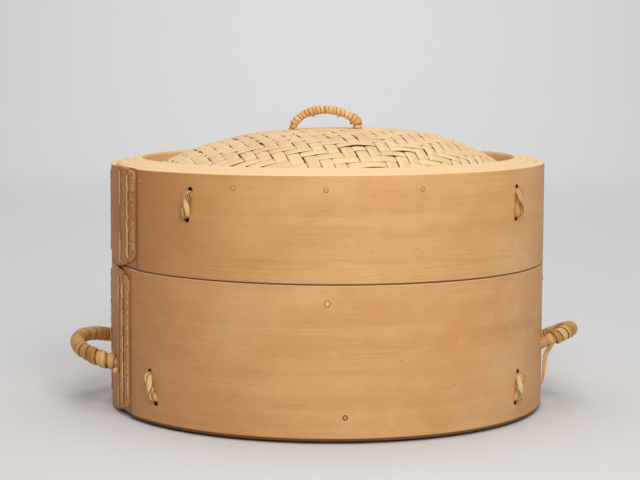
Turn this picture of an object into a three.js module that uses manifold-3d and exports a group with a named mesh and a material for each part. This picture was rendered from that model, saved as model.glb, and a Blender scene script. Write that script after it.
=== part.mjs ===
import * as THREE from "three";
import { mergeVertices } from "three/addons/utils/BufferGeometryUtils.js";
import Module from "manifold-3d";

// A round wooden steamer: a bent-board basket, a lid with a woven bamboo dome, and a loose slatted grate.
// Lengths are millimetres. Azimuths are degrees from the front (-Y), positive towards +X.
// The basket's base hoop stands on z = 0 and the axis of both rings is +Z.

// Clearances
const restGap = 0.3;
const hoopGap = 0.4;
const tieClearance = 0.35;
const stitchClearance = 0.3;

// Bent boards
const wallOuterRadius = 180;
const wallThickness = 6.7;
const basketHeight = 119.2;
const basketLift = 2.2;
const lidHeight = 85.2;
const baseEdgeRound = 2;
const lidTopRound = 3;
const boardStep = 7.5;

// Scarfed lap of each board, which runs away from its outer end towards the left and the back
const lapSpan = 38;
const lapStep = 6;
const lapEndThickness = 2.4;
const lapTipThickness = 0.6;
const lapProud = 0.8;
const lapCornerHeight = 13;
const lapCornerSpan = 11;
const lapCornerPower = 2.2;
const lapCornerShares = [0, 0.15, 0.4, 0.7];
const lapRunOut = 1.2;
const basketLapAzimuth = -61.5;
const lidLapAzimuth = -57;

// Hoops inside the boards
const hoopThickness = 6;
const innerHoopThickness = 5.5;
const hoopSegments = 48;
const collarSeat = 30;
const collarRise = 14;
const collarEase = 0.6;
const collarLeadIn = 2;
const baseHoopRise = 22;
const linerHeight = 54;
const middleHoopHeight = 38;
const clampHoopHeight = 14;
const restHoopHeight = 18;

// Woven dome
const matThickness = 2.6;
const matBorderCover = 5.1;
const domeRise = 37.3;
const domePower = 2.9;
const crownShift = 9;
const crownTilt = 2.2;
const domeRings = 8;
const matSegments = 36;
const matMiddleShare = 0.04;

// Cane ties
const tieRadius = 2.3;
const tieStandOff = 0.8;
const tieCorner = 4;
const tieSides = 6;
const lidTieUpperDrop = 16.4;
const lidTieLowerDrop = 42.3;
const lidTieInset = 5.2;
const basketTieUpperRise = 40.7;
const basketTieLowerRise = 15.4;
const lidTieAzimuths = [
  { name: "front_left", upper: -36.4, lower: -37.4 },
  { name: "front_right", upper: 55.6, lower: 56.2 },
  { name: "back_right", upper: 143.6, lower: 142.6 },
  { name: "back_left", upper: -124.4, lower: -123.8 },
];
const basketTieAzimuths = [
  { name: "front_left", upper: -51.1, lower: -49.4 },
  { name: "front_right", upper: 58.1, lower: 57.8 },
  { name: "back_right", upper: 128.9, lower: 130.6 },
  { name: "back_left", upper: -121.9, lower: -122.2 },
];

// Ribs under the dome and the bar that the top handle pulls on
const ribWidth = 14;
const ribThickness = 5;
const ribRise = 46;
const ribPower = 2.4;
const ribSections = 14;
const crossbarLength = 84;
const crossbarWidth = 14;
const crossbarHeight = 8;
const lashingRadius = 1.3;
const lashingAzimuth = 9.5;
const lashingHalfWidth = 14;

// Support bars under the grate
const barWidth = 14;
const barHeight = 12;
const barRound = 3;

// Grate
const grateClearance = 1.6;
const slatWidth = 24;
const slatPitch = 34;
const slatThickness = 6;
const battenWidth = 16;
const battenThickness = 5;
const battenOffset = 42;

// Stitches along the laps, each passing out, along the face and back in
const stitchWidth = 2.8;
const stitchThickness = 1.1;
const stitchBow = 0.7;
const stitchLength = 21;
const stitchPause = 4;
const stitchStandOff = 0.3;
const lidStitchRows = [
  { name: "outer", azimuth: -58.6, footMargin: 13.5, headMargin: 13.5 },
  { name: "middle", azimuth: -62.6, footMargin: 8, headMargin: 7.2 },
  { name: "inner", azimuth: -87, footMargin: 8, headMargin: 7.2 },
];
const basketStitchRows = [
  { name: "outer", azimuth: -63.2, footMargin: 13.5, headMargin: 14.5 },
  { name: "middle", azimuth: -66.8, footMargin: 9, headMargin: 10.2 },
  { name: "inner", azimuth: -88, footMargin: 8, headMargin: 9.2 },
];

// Bamboo pegs
const pegRadius = 1.8;
const pegClearance = 0.25;
const pegProud = 0.3;
const pegSides = 6;
const lidPegDrop = 13.6;
const collarPegDrop = 13.7;
const hoopPegRise = 18.5;
const lidPegAzimuths = [-54.8, -23.4, -0.4, 23.5, 100, 180];
const collarPegAzimuths = [0, 84, 180];
const hoopPegAzimuths = [4.5, 110, -140];

// Rattan handles. A side handle is an arch on the wall whose tip is higher than its feet.
const coreRadius = 4.3;
const coreSides = 8;
const coreSteps = 30;
const knotRadius = 5.6;
const knotLength = 5;
const knotStandOff = 3.4;
const wrapGap = 0.35;
const wrapThickness = 1.2;
const wrapSteps = 10;
const wrapTurnGap = 1;
const sideHandles = [
  {
    name: "left_handle",
    azimuth: -90,
    halfWidth: 54,
    footRise: 39,
    footTwist: 0,
    reach: 38,
    tipRise: 10,
    turns: 15,
    bareFoot: 3,
  },
  {
    name: "right_handle",
    azimuth: 94,
    halfWidth: 43,
    footRise: 44.5,
    footTwist: 5,
    reach: 34,
    tipRise: 14.4,
    turns: 12,
    bareFoot: 12,
  },
];
const archPower = 2.3;
const topCoreRadius = 2.2;
const topKnotRadius = 3.6;
const topWrapThickness = 0.8;
const topHandleTurns = 14;
const topHandleHalfSpan = 27.5;
const topHandleRise = 15.6;
const topHandleOffset = -3;
const topHandleTurnAngle = 5;
// Height over the mat against the distance from the middle, as shares of the rise and of the half span
const topHandleArch = [
  [-1, 0],
  [-0.66, 0.7],
  [0.03, 1],
  [0.72, 0.72],
  [0.97, 0.32],
  [0.94, 0],
];

// Cane stays that tie the side handles down to the wall
const stayRadius = 1.2;
const staySteps = 26;
const stayHoleRadius = 3.8;
const stayDistance = 8.2;
const stayStretch = 1.25;
const rightStayRise = 16.8;
const leftStayOffset = 2.7;
const leftStayFoot = 8;
const leftStayKnotRadius = 2.5;

// Finishes
const cypress = { color: 0xc99660, roughness: 0.6, metalness: 0 };
const cypressLid = { color: 0xcf9d66, roughness: 0.6, metalness: 0 };
const bamboo = { color: 0xd8b680, roughness: 0.55, metalness: 0 };
const weave = { color: 0xecc896, roughness: 0.55, metalness: 0 };
const cane = { color: 0xd6a661, roughness: 0.45, metalness: 0 };
const pegWood = { color: 0xb98550, roughness: 0.6, metalness: 0 };

// Levels and radii that follow from the driving dimensions
const wallInnerRadius = wallOuterRadius - wallThickness;
const basketBottom = basketLift;
const basketTop = basketBottom + basketHeight;
const lidBottom = basketTop + restGap;
const lidTop = lidBottom + lidHeight;
const firstHoopRadius = wallInnerRadius - hoopGap;
const firstHoopInner = firstHoopRadius - hoopThickness;
const middleHoopRadius = firstHoopInner - hoopGap;
const middleHoopInner = middleHoopRadius - innerHoopThickness;
const innerHoopRadius = middleHoopInner - hoopGap;
const innerHoopInner = innerHoopRadius - innerHoopThickness;
const matTop = lidTop - clampHoopHeight - restGap;
const matBottom = matTop - matThickness;
const matRadius = innerHoopInner + matBorderCover;
const domeRadius = innerHoopInner - hoopGap;
const restHoopTop = matBottom - restGap;
const lidTieUpper = lidTop - lidTieUpperDrop;
const lidTieLower = lidTop - lidTieLowerDrop;
const basketTieInnerRadius = firstHoopInner - hoopGap - tieRadius;
const grateRadius = basketTieInnerRadius - tieRadius - grateClearance;
const basketTieUpper = basketBottom + basketTieUpperRise;
const basketTieLower = basketBottom + basketTieLowerRise;
const rightStayHeight = basketBottom + rightStayRise;
const baseHoopTop = basketBottom + baseHoopRise;
const barBottom = baseHoopTop + restGap;
const slatBottom = barBottom + barHeight + restGap;

const wasm = await Module();
wasm.setup();

// Position-only copy of a geometry with its shared vertices merged.
function merged(geometry) {
  const plain = new THREE.BufferGeometry();
  plain.setAttribute("position", geometry.getAttribute("position").clone());
  if (geometry.index) {
    plain.setIndex(geometry.index.clone());
  }
  return mergeVertices(plain, 1e-4);
}

// A closed geometry as a solid. A surface that came out inside out is turned round.
function toSolid(geometry) {
  const plain = merged(geometry);
  const make = (order) => {
    const triVerts = new Uint32Array(plain.index.array);
    if (order < 0) {
      for (let i = 0; i < triVerts.length; i += 3) {
        const first = triVerts[i];
        triVerts[i] = triVerts[i + 1];
        triVerts[i + 1] = first;
      }
    }
    const vertProperties = plain.attributes.position.array;
    return new wasm.Manifold(new wasm.Mesh({ numProp: 3, vertProperties, triVerts }));
  };
  const solid = make(1);
  return solid.volume() < 0 ? make(-1) : solid;
}

function toGeometry(solid) {
  const mesh = solid.getMesh();
  const positions = new Float32Array(mesh.numVert * 3);
  for (let i = 0; i < mesh.numVert; i++) {
    const start = i * mesh.numProp;
    positions.set(mesh.vertProperties.subarray(start, start + 3), i * 3);
  }
  const geometry = new THREE.BufferGeometry();
  geometry.setAttribute("position", new THREE.BufferAttribute(positions, 3));
  geometry.setIndex(new THREE.BufferAttribute(new Uint32Array(mesh.triVerts), 1));
  return geometry;
}

function subtractAll(solid, tools) {
  return tools.reduce((left, tool) => left.subtract(tool), solid);
}

const radians = THREE.MathUtils.degToRad;

function outward(azimuth) {
  return new THREE.Vector3(Math.sin(radians(azimuth)), -Math.cos(radians(azimuth)), 0);
}

function polar(radius, azimuth, height) {
  return outward(azimuth).multiplyScalar(radius).setZ(height);
}

// A closed surface through rings of points. Every ring has the same number of points.
function loft(rings, closedPath) {
  const count = rings[0].length;
  const positions = rings.flat().flatMap((point) => point.toArray());
  const triangles = [];
  const last = closedPath ? rings.length : rings.length - 1;
  for (let i = 0; i < last; i++) {
    const a = i * count;
    const b = ((i + 1) % rings.length) * count;
    for (let j = 0; j < count; j++) {
      const k = (j + 1) % count;
      triangles.push(a + j, a + k, b + j, a + k, b + k, b + j);
    }
  }
  if (!closedPath) {
    const end = (rings.length - 1) * count;
    for (let j = 1; j < count - 1; j++) {
      triangles.push(0, j + 1, j);
      triangles.push(end, end + j, end + j + 1);
    }
  }
  const geometry = new THREE.BufferGeometry();
  geometry.setAttribute("position", new THREE.Float32BufferAttribute(positions, 3));
  geometry.setIndex(triangles);
  return geometry;
}

// Points round a curve, found from a distance along it, a turn angle and a radius.
function pointsAround(curve, closedPath) {
  const fine = 400;
  const frames = curve.computeFrenetFrames(fine, closedPath);
  const whole = curve.getLength();
  return (distance, angle, radius) => {
    const share = THREE.MathUtils.clamp(distance / whole, 0, 1);
    const low = Math.min(fine - 1, Math.floor(share * fine));
    const blend = share * fine - low;
    const normal = frames.normals[low].clone().lerp(frames.normals[low + 1], blend).normalize();
    const binormal = frames.binormals[low].clone().lerp(frames.binormals[low + 1], blend).normalize();
    const centre = curve.getPointAt(share);
    centre.addScaledVector(normal, radius * Math.cos(angle));
    return centre.addScaledVector(binormal, radius * Math.sin(angle));
  };
}

// A round tube along a curve, through stations of a distance along it and a radius there.
function tube(curve, stations, sides, closedPath) {
  const at = pointsAround(curve, closedPath);
  const rings = stations.map(([distance, radius]) => {
    const ring = [];
    for (let j = 0; j < sides; j++) {
      ring.push(at(distance, (2 * Math.PI * j) / sides, radius));
    }
    return ring;
  });
  return toSolid(loft(rings, closedPath));
}

// Evenly spaced stations between two distances.
function evenStations(from, to, steps, radius) {
  const stations = [];
  for (let i = 0; i <= steps; i++) {
    stations.push([from + ((to - from) * i) / steps, radius]);
  }
  return stations;
}

// A rattan core that ends in a thicker knot on each side.
function knottedCore(curve, radius, endRadius) {
  const length = curve.getLength();
  const shoulder = 0.5;
  const from = knotLength + shoulder;
  const knots = [
    [0, endRadius],
    [knotLength, endRadius],
  ];
  const mirrored = knots.map(([distance, size]) => [length - distance, size]).reverse();
  const stations = [...knots, ...evenStations(from, length - from, coreSteps, radius), ...mirrored];
  return tube(curve, stations, coreSides, false);
}

// The bore that a core passes through, with the same stations as the core.
function coreBore(curve, radius) {
  const length = curve.getLength();
  const from = knotLength + 0.5;
  const bore = radius + restGap;
  const stations = [[0, bore], ...evenStations(from, length - from, coreSteps, bore), [length, bore]];
  return tube(curve, stations, coreSides, false);
}

// A straight round pin from one point to another.
function pin(from, to, radius, sides) {
  const length = from.distanceTo(to);
  const geometry = new THREE.CylinderGeometry(radius, radius, length, sides);
  const direction = to.clone().sub(from).normalize();
  const turn = new THREE.Quaternion().setFromUnitVectors(new THREE.Vector3(0, 1, 0), direction);
  geometry.applyQuaternion(turn);
  const middle = from.clone().add(to).multiplyScalar(0.5);
  return geometry.translate(middle.x, middle.y, middle.z);
}

// A solid of revolution about +Z from radius and height pairs.
function turned(profile, segments) {
  const points = points2(profile);
  points.push(points[0].clone());
  return new THREE.LatheGeometry(points, segments).rotateX(Math.PI / 2);
}

function points2(pairs) {
  return pairs.map(([x, y]) => new THREE.Vector2(x, y));
}

function disc(radius, bottom, top) {
  const geometry = new THREE.CylinderGeometry(radius, radius, top - bottom, hoopSegments);
  return geometry.rotateX(Math.PI / 2).translate(0, 0, (top + bottom) / 2);
}

function hoop(outerRadius, thickness, bottom, top) {
  const inner = outerRadius - thickness;
  const profile = [
    [inner, bottom],
    [outerRadius, bottom],
    [outerRadius, top],
    [inner, top],
  ];
  return toSolid(turned(profile, hoopSegments));
}

// Radial limits of a board at a turn angle counted from its outer end. The outer end lies over the
// inner start for the length of the lap, and both are scarfed to thin edges.
function boardLayer(angle) {
  const scarf = (share) => {
    const startRadius = wallOuterRadius - lapEndThickness + lapProud;
    const endRadius = wallInnerRadius + lapTipThickness;
    return startRadius + (endRadius - startRadius) * share;
  };
  if (angle <= lapSpan) {
    const share = angle / lapSpan;
    return {
      inner: scarf(share) + restGap / 2,
      outer: wallOuterRadius + lapProud * (1 - share),
    };
  }
  if (angle <= 360 - lapRunOut) {
    return { inner: wallInnerRadius, outer: wallOuterRadius };
  }
  const share = Math.max(0, angle - 360) / lapSpan;
  return { inner: wallInnerRadius, outer: scarf(share) - restGap / 2 };
}

// Turn angles at which a board gets a section, closer together in its lap.
function boardAngles() {
  const lap = lapCornerShares.map((share) => lapCornerSpan * share);
  const lapSteps = Math.ceil((lapSpan - lapCornerSpan) / lapStep);
  for (let i = 0; i <= lapSteps; i++) {
    lap.push(lapCornerSpan + ((lapSpan - lapCornerSpan) * i) / lapSteps);
  }
  const openStart = lapSpan + lapRunOut;
  const openEnd = 360 - lapRunOut;
  const openSteps = Math.ceil((openEnd - openStart) / boardStep);
  const open = [];
  for (let i = 0; i <= openSteps; i++) {
    open.push(openStart + ((openEnd - openStart) * i) / openSteps);
  }
  return [...lap, ...open, ...lap.map((angle) => angle + 360)];
}

// A long board bent round until its ends overlap, with the corners of its outer end rounded off.
function bentBoard(endAzimuth, bottom, top, bottomRound, topRound) {
  const rings = boardAngles().map((angle) => {
    const { inner, outer } = boardLayer(angle);
    const cut = lapCornerHeight * Math.max(0, 1 - angle / lapCornerSpan) ** lapCornerPower;
    const low = bottom + cut;
    const high = top - cut;
    const under = Math.min(bottomRound, 0.7 * (outer - inner));
    const over = Math.min(topRound, 0.7 * (outer - inner));
    const soft = over * (1 - Math.SQRT1_2);
    const section = [[inner, low]];
    if (under > 0) {
      section.push([outer - under, low]);
    }
    section.push([outer, low + under], [outer, high - over]);
    if (over > 0) {
      section.push([outer - soft, high - soft], [outer - over, high]);
    }
    section.push([inner, high]);
    return section.map(([radius, height]) => polar(radius, endAzimuth - angle, height));
  });
  return toSolid(loft(rings, false));
}

// A flat outline in the radial plane, extruded across it and set at an azimuth.
function radialPlate(shape, width, azimuth) {
  const geometry = new THREE.ExtrudeGeometry(shape, { depth: width, bevelEnabled: false });
  geometry.translate(0, 0, -width / 2);
  const out = outward(azimuth);
  const up = new THREE.Vector3(0, 0, 1);
  const across = new THREE.Vector3().crossVectors(out, up);
  return geometry.applyMatrix4(new THREE.Matrix4().makeBasis(out, up, across));
}

// Ends of the stitches of a row, as heights over the row's own zero.
function stitchSpans(low, high) {
  const count = Math.max(1, Math.round((high - low + stitchPause) / (stitchLength + stitchPause)));
  const length = (high - low - (count - 1) * stitchPause) / count;
  const spans = [];
  for (let i = 0; i < count; i++) {
    const start = low + i * (length + stitchPause);
    spans.push([start, start + length]);
  }
  return spans;
}

// Side view of one stitched row: bowed stitches on the face, joined by short passes in the wall.
function stitchOutline(low, high) {
  const face = wallOuterRadius + lapProud + stitchStandOff;
  const back = wallInnerRadius + restGap;
  const thick = stitchThickness;
  const spans = stitchSpans(low, high);
  const outer = [];
  const inner = [];
  spans.forEach(([start, end], i) => {
    outer.push([face + thick, start], [face + thick + stitchBow, (start + end) / 2]);
    outer.push([face + thick, end]);
    inner.push([face, start + thick], [face, end - thick]);
    if (i < spans.length - 1) {
      const next = spans[i + 1][0];
      outer.push([back + thick, end], [back + thick, next]);
      inner.push([back, end - thick], [back, next + thick]);
    }
  });
  const points = [[back, low], ...outer, [back, high], [back, high - thick]];
  points.push(...inner.reverse(), [back, low + thick]);
  return new THREE.Shape(points.map(([radius, height]) => new THREE.Vector2(radius, height)));
}

// A row's slots through the wall: one at each end and one under each pause between two stitches.
function stitchSlots(row, bottom, top) {
  const spans = stitchSpans(bottom + row.footMargin, top - row.headMargin);
  const slots = [[spans[0][0], spans[0][0] + stitchThickness]];
  spans.forEach(([, end], i) => {
    const next = i < spans.length - 1 ? spans[i + 1][0] + stitchThickness : end;
    slots.push([end - stitchThickness, next]);
  });
  const inner = wallInnerRadius - lapProud;
  const outer = wallOuterRadius + 2 * lapProud;
  return slots.map(([low, high]) => {
    const outline = new THREE.Shape([
      new THREE.Vector2(inner, low - stitchClearance),
      new THREE.Vector2(outer, low - stitchClearance),
      new THREE.Vector2(outer, high + stitchClearance),
      new THREE.Vector2(inner, high + stitchClearance),
    ]);
    return toSolid(radialPlate(outline, stitchWidth + 2 * stitchClearance, row.azimuth));
  });
}

function stitchRow(row, bottom, top) {
  const outline = stitchOutline(bottom + row.footMargin, top - row.headMargin);
  return toSolid(radialPlate(outline, stitchWidth, row.azimuth));
}

// Centre line of a tie: a rounded rectangle round the wall in a nearly radial plane.
function tieCurve(tie, innerRadius, lower, upper) {
  const outerRadius = wallOuterRadius + tieRadius + tieStandOff;
  const azimuthAt = (height) => {
    const share = (height - lower) / (upper - lower);
    return tie.lower + (tie.upper - tie.lower) * share;
  };
  const corners = [
    [outerRadius, lower, -1, 1, 0],
    [outerRadius, upper, -1, -1, 90],
    [innerRadius, upper, 1, -1, 180],
    [innerRadius, lower, 1, 1, 270],
  ];
  const points = [];
  for (const [radius, height, inwards, upwards, startTurn] of corners) {
    for (const turn of [0, 45, 90]) {
      const angle = radians(startTurn + turn - 90);
      const r = radius + inwards * tieCorner + tieCorner * Math.cos(angle);
      const z = height + upwards * tieCorner + tieCorner * Math.sin(angle);
      points.push(polar(r, azimuthAt(z), z));
    }
  }
  return points;
}

// A tube whose rings stand at the given points, for loops that are straight between rounded corners.
function ringTube(points, radius, sides) {
  const count = points.length;
  const centre = points.reduce((sum, point) => sum.add(point), new THREE.Vector3()).divideScalar(count);
  const rings = points.map((point, i) => {
    const before = points[(i + count - 1) % count];
    const after = points[(i + 1) % count];
    const along = after.clone().sub(before).normalize();
    const away = point.clone().sub(centre);
    const side = new THREE.Vector3().crossVectors(along, away).normalize();
    const up = new THREE.Vector3().crossVectors(side, along);
    const ring = [];
    for (let j = 0; j < sides; j++) {
      const angle = (2 * Math.PI * (j + 0.5)) / sides;
      const across = side.clone().multiplyScalar(radius * Math.cos(angle));
      ring.push(point.clone().add(across).add(up.clone().multiplyScalar(radius * Math.sin(angle))));
    }
    return ring;
  });
  return toSolid(loft(rings, true));
}

// Share of the dome's radius for a plan position, with the crown set off to one side.
function domeShare(x, y) {
  let share = Math.hypot(x, y) / domeRadius;
  for (let i = 0; i < 8; i++) {
    share = Math.hypot(x - crownShift * (1 - share * share), y) / domeRadius;
    share = Math.min(1, share);
  }
  return share;
}

// Height of the mat's upper face.
function domeHeight(x, y) {
  const share = domeShare(x, y);
  const tilt = crownTilt * (x / domeRadius) * (1 - share ** 6);
  return matTop + domeRise * (1 - share ** domePower) + tilt;
}

// The bamboo mat as one closed shell: a flat border between the two hoops and a dome inside it.
function domedMat() {
  const flat = (radius, height) => {
    const ring = [];
    for (let k = 0; k < matSegments; k++) {
      ring.push(polar(radius, (360 * k) / matSegments, height));
    }
    return ring;
  };
  const domed = (share, drop) =>
    flat(share * domeRadius, 0).map((point) => {
      point.x += crownShift * (1 - share * share);
      return point.setZ(domeHeight(point.x, point.y) - drop);
    });
  const shares = [];
  for (let i = 1; i < domeRings; i++) {
    shares.push(i / domeRings);
  }
  const upper = [matMiddleShare, ...shares].map((share) => domed(share, 0));
  const lower = [matMiddleShare, ...shares].map((share) => domed(share, matThickness));
  const border = [
    flat(domeRadius, matTop),
    flat(matRadius, matTop),
    flat(matRadius, matBottom),
    flat(domeRadius, matBottom),
  ];
  return toSolid(loft([...upper, ...border, ...lower.reverse()], false));
}

// A bent bamboo rib across the dome, and the line that it follows.
function ribHeight(distance, topHeight, endHeight) {
  const share = Math.min(1, Math.abs(distance) / innerHoopInner);
  return endHeight + (topHeight - endHeight) * (1 - share ** ribPower);
}

function rib(azimuth, topHeight, endHeight) {
  const out = outward(azimuth);
  const across = new THREE.Vector3().crossVectors(out, new THREE.Vector3(0, 0, 1));
  const reach = innerHoopInner + 2;
  const rings = [];
  for (let i = 0; i <= ribSections; i++) {
    const distance = reach * (1 - (2 * i) / ribSections);
    const height = (d) => ribHeight(d, topHeight, endHeight);
    const slope = height(distance + 1) - height(distance - 1);
    const normal = out.clone().multiplyScalar(-slope / 2).setZ(1).normalize();
    const centre = out.clone().multiplyScalar(distance).setZ(height(distance));
    const corner = (side, up) => {
      const wide = across.clone().multiplyScalar((side * ribWidth) / 2);
      return centre.clone().add(wide).addScaledVector(normal, (up * ribThickness) / 2);
    };
    rings.push([corner(-1, -1), corner(1, -1), corner(1, 1), corner(-1, 1)]);
  }
  const hoopBore = toSolid(disc(innerHoopInner - restGap, lidBottom, lidTop + domeRise));
  return toSolid(loft(rings, false)).intersect(hoopBore);
}

// A rounded rectangle, for bars.
function roundedOutline(width, height, round) {
  const shape = new THREE.Shape();
  const x = width / 2;
  const y = height / 2;
  shape.moveTo(-x + round, -y);
  shape.lineTo(x - round, -y);
  shape.quadraticCurveTo(x, -y, x, -y + round);
  shape.lineTo(x, y);
  shape.lineTo(-x, y);
  shape.lineTo(-x, -y + round);
  shape.quadraticCurveTo(-x, -y, -x + round, -y);
  return shape;
}

// A support bar through two ties, cut to the inside of the wall.
function supportBar(first, second) {
  const from = polar(basketTieInnerRadius, (first.upper + first.lower) / 2, 0);
  const to = polar(basketTieInnerRadius, (second.upper + second.lower) / 2, 0);
  const along = to.clone().sub(from).normalize();
  const length = 2 * wallOuterRadius;
  const settings = { depth: length, bevelEnabled: false, curveSegments: 2 };
  const geometry = new THREE.ExtrudeGeometry(roundedOutline(barWidth, barHeight, barRound), settings);
  geometry.translate(0, 0, -length / 2);
  const up = new THREE.Vector3(0, 0, 1);
  const across = new THREE.Vector3().crossVectors(up, along);
  geometry.applyMatrix4(new THREE.Matrix4().makeBasis(across, up, along));
  const middle = from.clone().add(to).multiplyScalar(0.5);
  geometry.translate(middle.x, middle.y, barBottom + barHeight / 2);
  return toSolid(geometry).intersect(toSolid(disc(firstHoopRadius, 0, basketTop)));
}

// A slat of the grate: a straight strip whose ends follow the grate's circle.
function slat(offset) {
  const near = Math.abs(offset) - slatWidth / 2;
  const far = Math.abs(offset) + slatWidth / 2;
  const end = (distance) => Math.sqrt(Math.max(0, grateRadius ** 2 - distance ** 2));
  const shape = new THREE.Shape();
  const side = Math.sign(offset) || 1;
  shape.moveTo(side * near, -end(Math.abs(near)));
  shape.lineTo(side * offset * side, -end(offset));
  shape.lineTo(side * far, -end(far));
  shape.lineTo(side * far, end(far));
  shape.lineTo(side * offset * side, end(offset));
  shape.lineTo(side * near, end(Math.abs(near)));
  const geometry = new THREE.ExtrudeGeometry(shape, { depth: slatThickness, bevelEnabled: false });
  return toSolid(geometry.translate(0, 0, slatBottom));
}

function batten(offset) {
  const half = Math.sqrt(grateRadius ** 2 - (Math.abs(offset) + battenWidth / 2) ** 2);
  const geometry = new THREE.BoxGeometry(2 * half, battenWidth, battenThickness);
  return toSolid(geometry.translate(0, offset, slatBottom - restGap - battenThickness / 2));
}

// Centre line of a side handle: an arch over a chord of the wall, and its two feet through the wall.
class SideHandleCurve extends THREE.Curve {
  constructor(handle, footLength) {
    super();
    this.handle = handle;
    this.footLength = footLength;
    this.chordDistance = Math.sqrt(wallOuterRadius ** 2 - handle.halfWidth ** 2);
    this.archLength = Math.PI * 0.5 * (handle.halfWidth + handle.reach);
    this.whole = this.archLength + 2 * footLength;
  }

  archPoint(turn) {
    const h = this.handle;
    const cosine = Math.cos(turn);
    const across = Math.sign(cosine) * Math.abs(cosine) ** (2 / archPower);
    const forward = Math.abs(Math.sin(turn)) ** (2 / archPower);
    return this.place(across, forward);
  }

  // Across is +1 at the foot nearer the front.
  place(across, forward) {
    const h = this.handle;
    const height = basketBottom + h.footRise + h.tipRise * forward + h.footTwist * across;
    const out = outward(h.azimuth);
    const side = new THREE.Vector3(-out.y, out.x, 0);
    if (side.y > 0) {
      side.negate();
    }
    const point = out.clone().multiplyScalar(this.chordDistance + h.reach * forward);
    return point.addScaledVector(side, h.halfWidth * across).setZ(height);
  }

  getPoint(share, target = new THREE.Vector3()) {
    const h = this.handle;
    const distance = share * this.whole;
    const beyond = distance - this.footLength - this.archLength;
    const before = this.footLength - distance;
    const inside = Math.max(before, beyond);
    if (inside <= 0) {
      const turn = (Math.PI * (distance - this.footLength)) / this.archLength;
      return target.copy(this.archPoint(turn));
    }
    const across = before > beyond ? 1 : -1;
    const forward = -inside / Math.hypot(h.reach, h.tipRise);
    return target.copy(this.place(across, forward));
  }
}

// A flat strip wound round a core, with the least gap between two turns measured on its corners.
function windStrip(curve, from, to, turns, innerRadius, thickness, label) {
  const at = pointsAround(curve, false);
  const pitch = (to - from) / (turns + 1);
  const halfWidth = (pitch - wrapTurnGap) / 2;
  const rings = [];
  const count = turns * wrapSteps;
  for (let i = 0; i <= count; i++) {
    const angle = (2 * Math.PI * i) / wrapSteps;
    const middle = from + pitch / 2 + (pitch * i) / wrapSteps;
    const low = middle - halfWidth;
    const high = middle + halfWidth;
    const outerRadius = innerRadius + thickness;
    const section = [
      at(low, angle, innerRadius),
      at(high, angle, innerRadius),
      at(high, angle, outerRadius),
      at(low, angle, outerRadius),
    ];
    rings.push(section);
  }
  let least = Infinity;
  for (let i = 0; i + wrapSteps <= count; i++) {
    for (let shift = -1; shift <= 1; shift++) {
      const next = rings[i + wrapSteps + shift];
      if (next) {
        least = Math.min(least, rings[i][1].distanceTo(next[0]), rings[i][2].distanceTo(next[3]));
      }
    }
  }
  console.log(label + ": least gap between turns " + least.toFixed(2) + " mm");
  return toSolid(loft(rings, false));
}

const basket = new THREE.Group();
const lid = new THREE.Group();
const grate = new THREE.Group();

function add(group, name, solid, finish) {
  const mesh = new THREE.Mesh(toGeometry(solid), new THREE.MeshStandardMaterial(finish));
  mesh.name = name;
  group.add(mesh);
}

// Side handles: cores, wrappings and the holes that their feet pass through
const footLength = wallThickness + knotStandOff + knotLength + 2;
const sideHandleParts = sideHandles.map((handle) => {
  const curve = new SideHandleCurve(handle, footLength);
  const length = curve.getLength();
  const core = knottedCore(curve, coreRadius, knotRadius);
  const hole = coreBore(curve, coreRadius);
  const start = footLength + handle.bareFoot;
  const wrap = windStrip(
    curve,
    start,
    length - start,
    handle.turns,
    coreRadius + wrapGap,
    wrapThickness,
    handle.name + "_wrap",
  );
  return { handle, curve, core, hole, wrap };
});

// Ties
const lidTieInnerRadius = innerHoopInner - lidTieInset;
const lidTieCurves = lidTieAzimuths.map((tie) => tieCurve(tie, lidTieInnerRadius, lidTieLower, lidTieUpper));
const basketTieCurves = basketTieAzimuths.map((tie) =>
  tieCurve(tie, basketTieInnerRadius, basketTieLower, basketTieUpper),
);
const tieCutRadius = tieRadius + tieClearance;
const lidTieCuts = lidTieCurves.map((points) => ringTube(points, tieCutRadius, tieSides));
const basketTieCuts = basketTieCurves.map((points) => ringTube(points, tieCutRadius, tieSides));

// Pegs, driven in from the outer face
function pegs(prefix, azimuths, height, depth) {
  return azimuths.map((azimuth, i) => {
    const head = polar(wallOuterRadius + pegProud, azimuth, height);
    const tip = polar(wallOuterRadius - depth, azimuth, height);
    const pastHead = polar(wallOuterRadius + 2, azimuth, height);
    const pastTip = polar(wallOuterRadius - depth - restGap, azimuth, height);
    return {
      name: prefix + (i + 1),
      solid: toSolid(pin(head, tip, pegRadius, pegSides)),
      hole: toSolid(pin(pastHead, pastTip, pegRadius + pegClearance, pegSides)),
    };
  });
}
const twoLayers = wallThickness + hoopGap + hoopThickness;
const lidPegs = pegs("lid_peg_", lidPegAzimuths, lidTop - lidPegDrop, twoLayers + hoopGap + innerHoopThickness / 2);
const collarPegs = pegs("collar_peg_", collarPegAzimuths, basketTop - collarPegDrop, twoLayers - 1);
const hoopPegs = pegs("base_hoop_peg_", hoopPegAzimuths, basketBottom + hoopPegRise, twoLayers - 1);
const holes = (list) => list.map((peg) => peg.hole);

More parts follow.
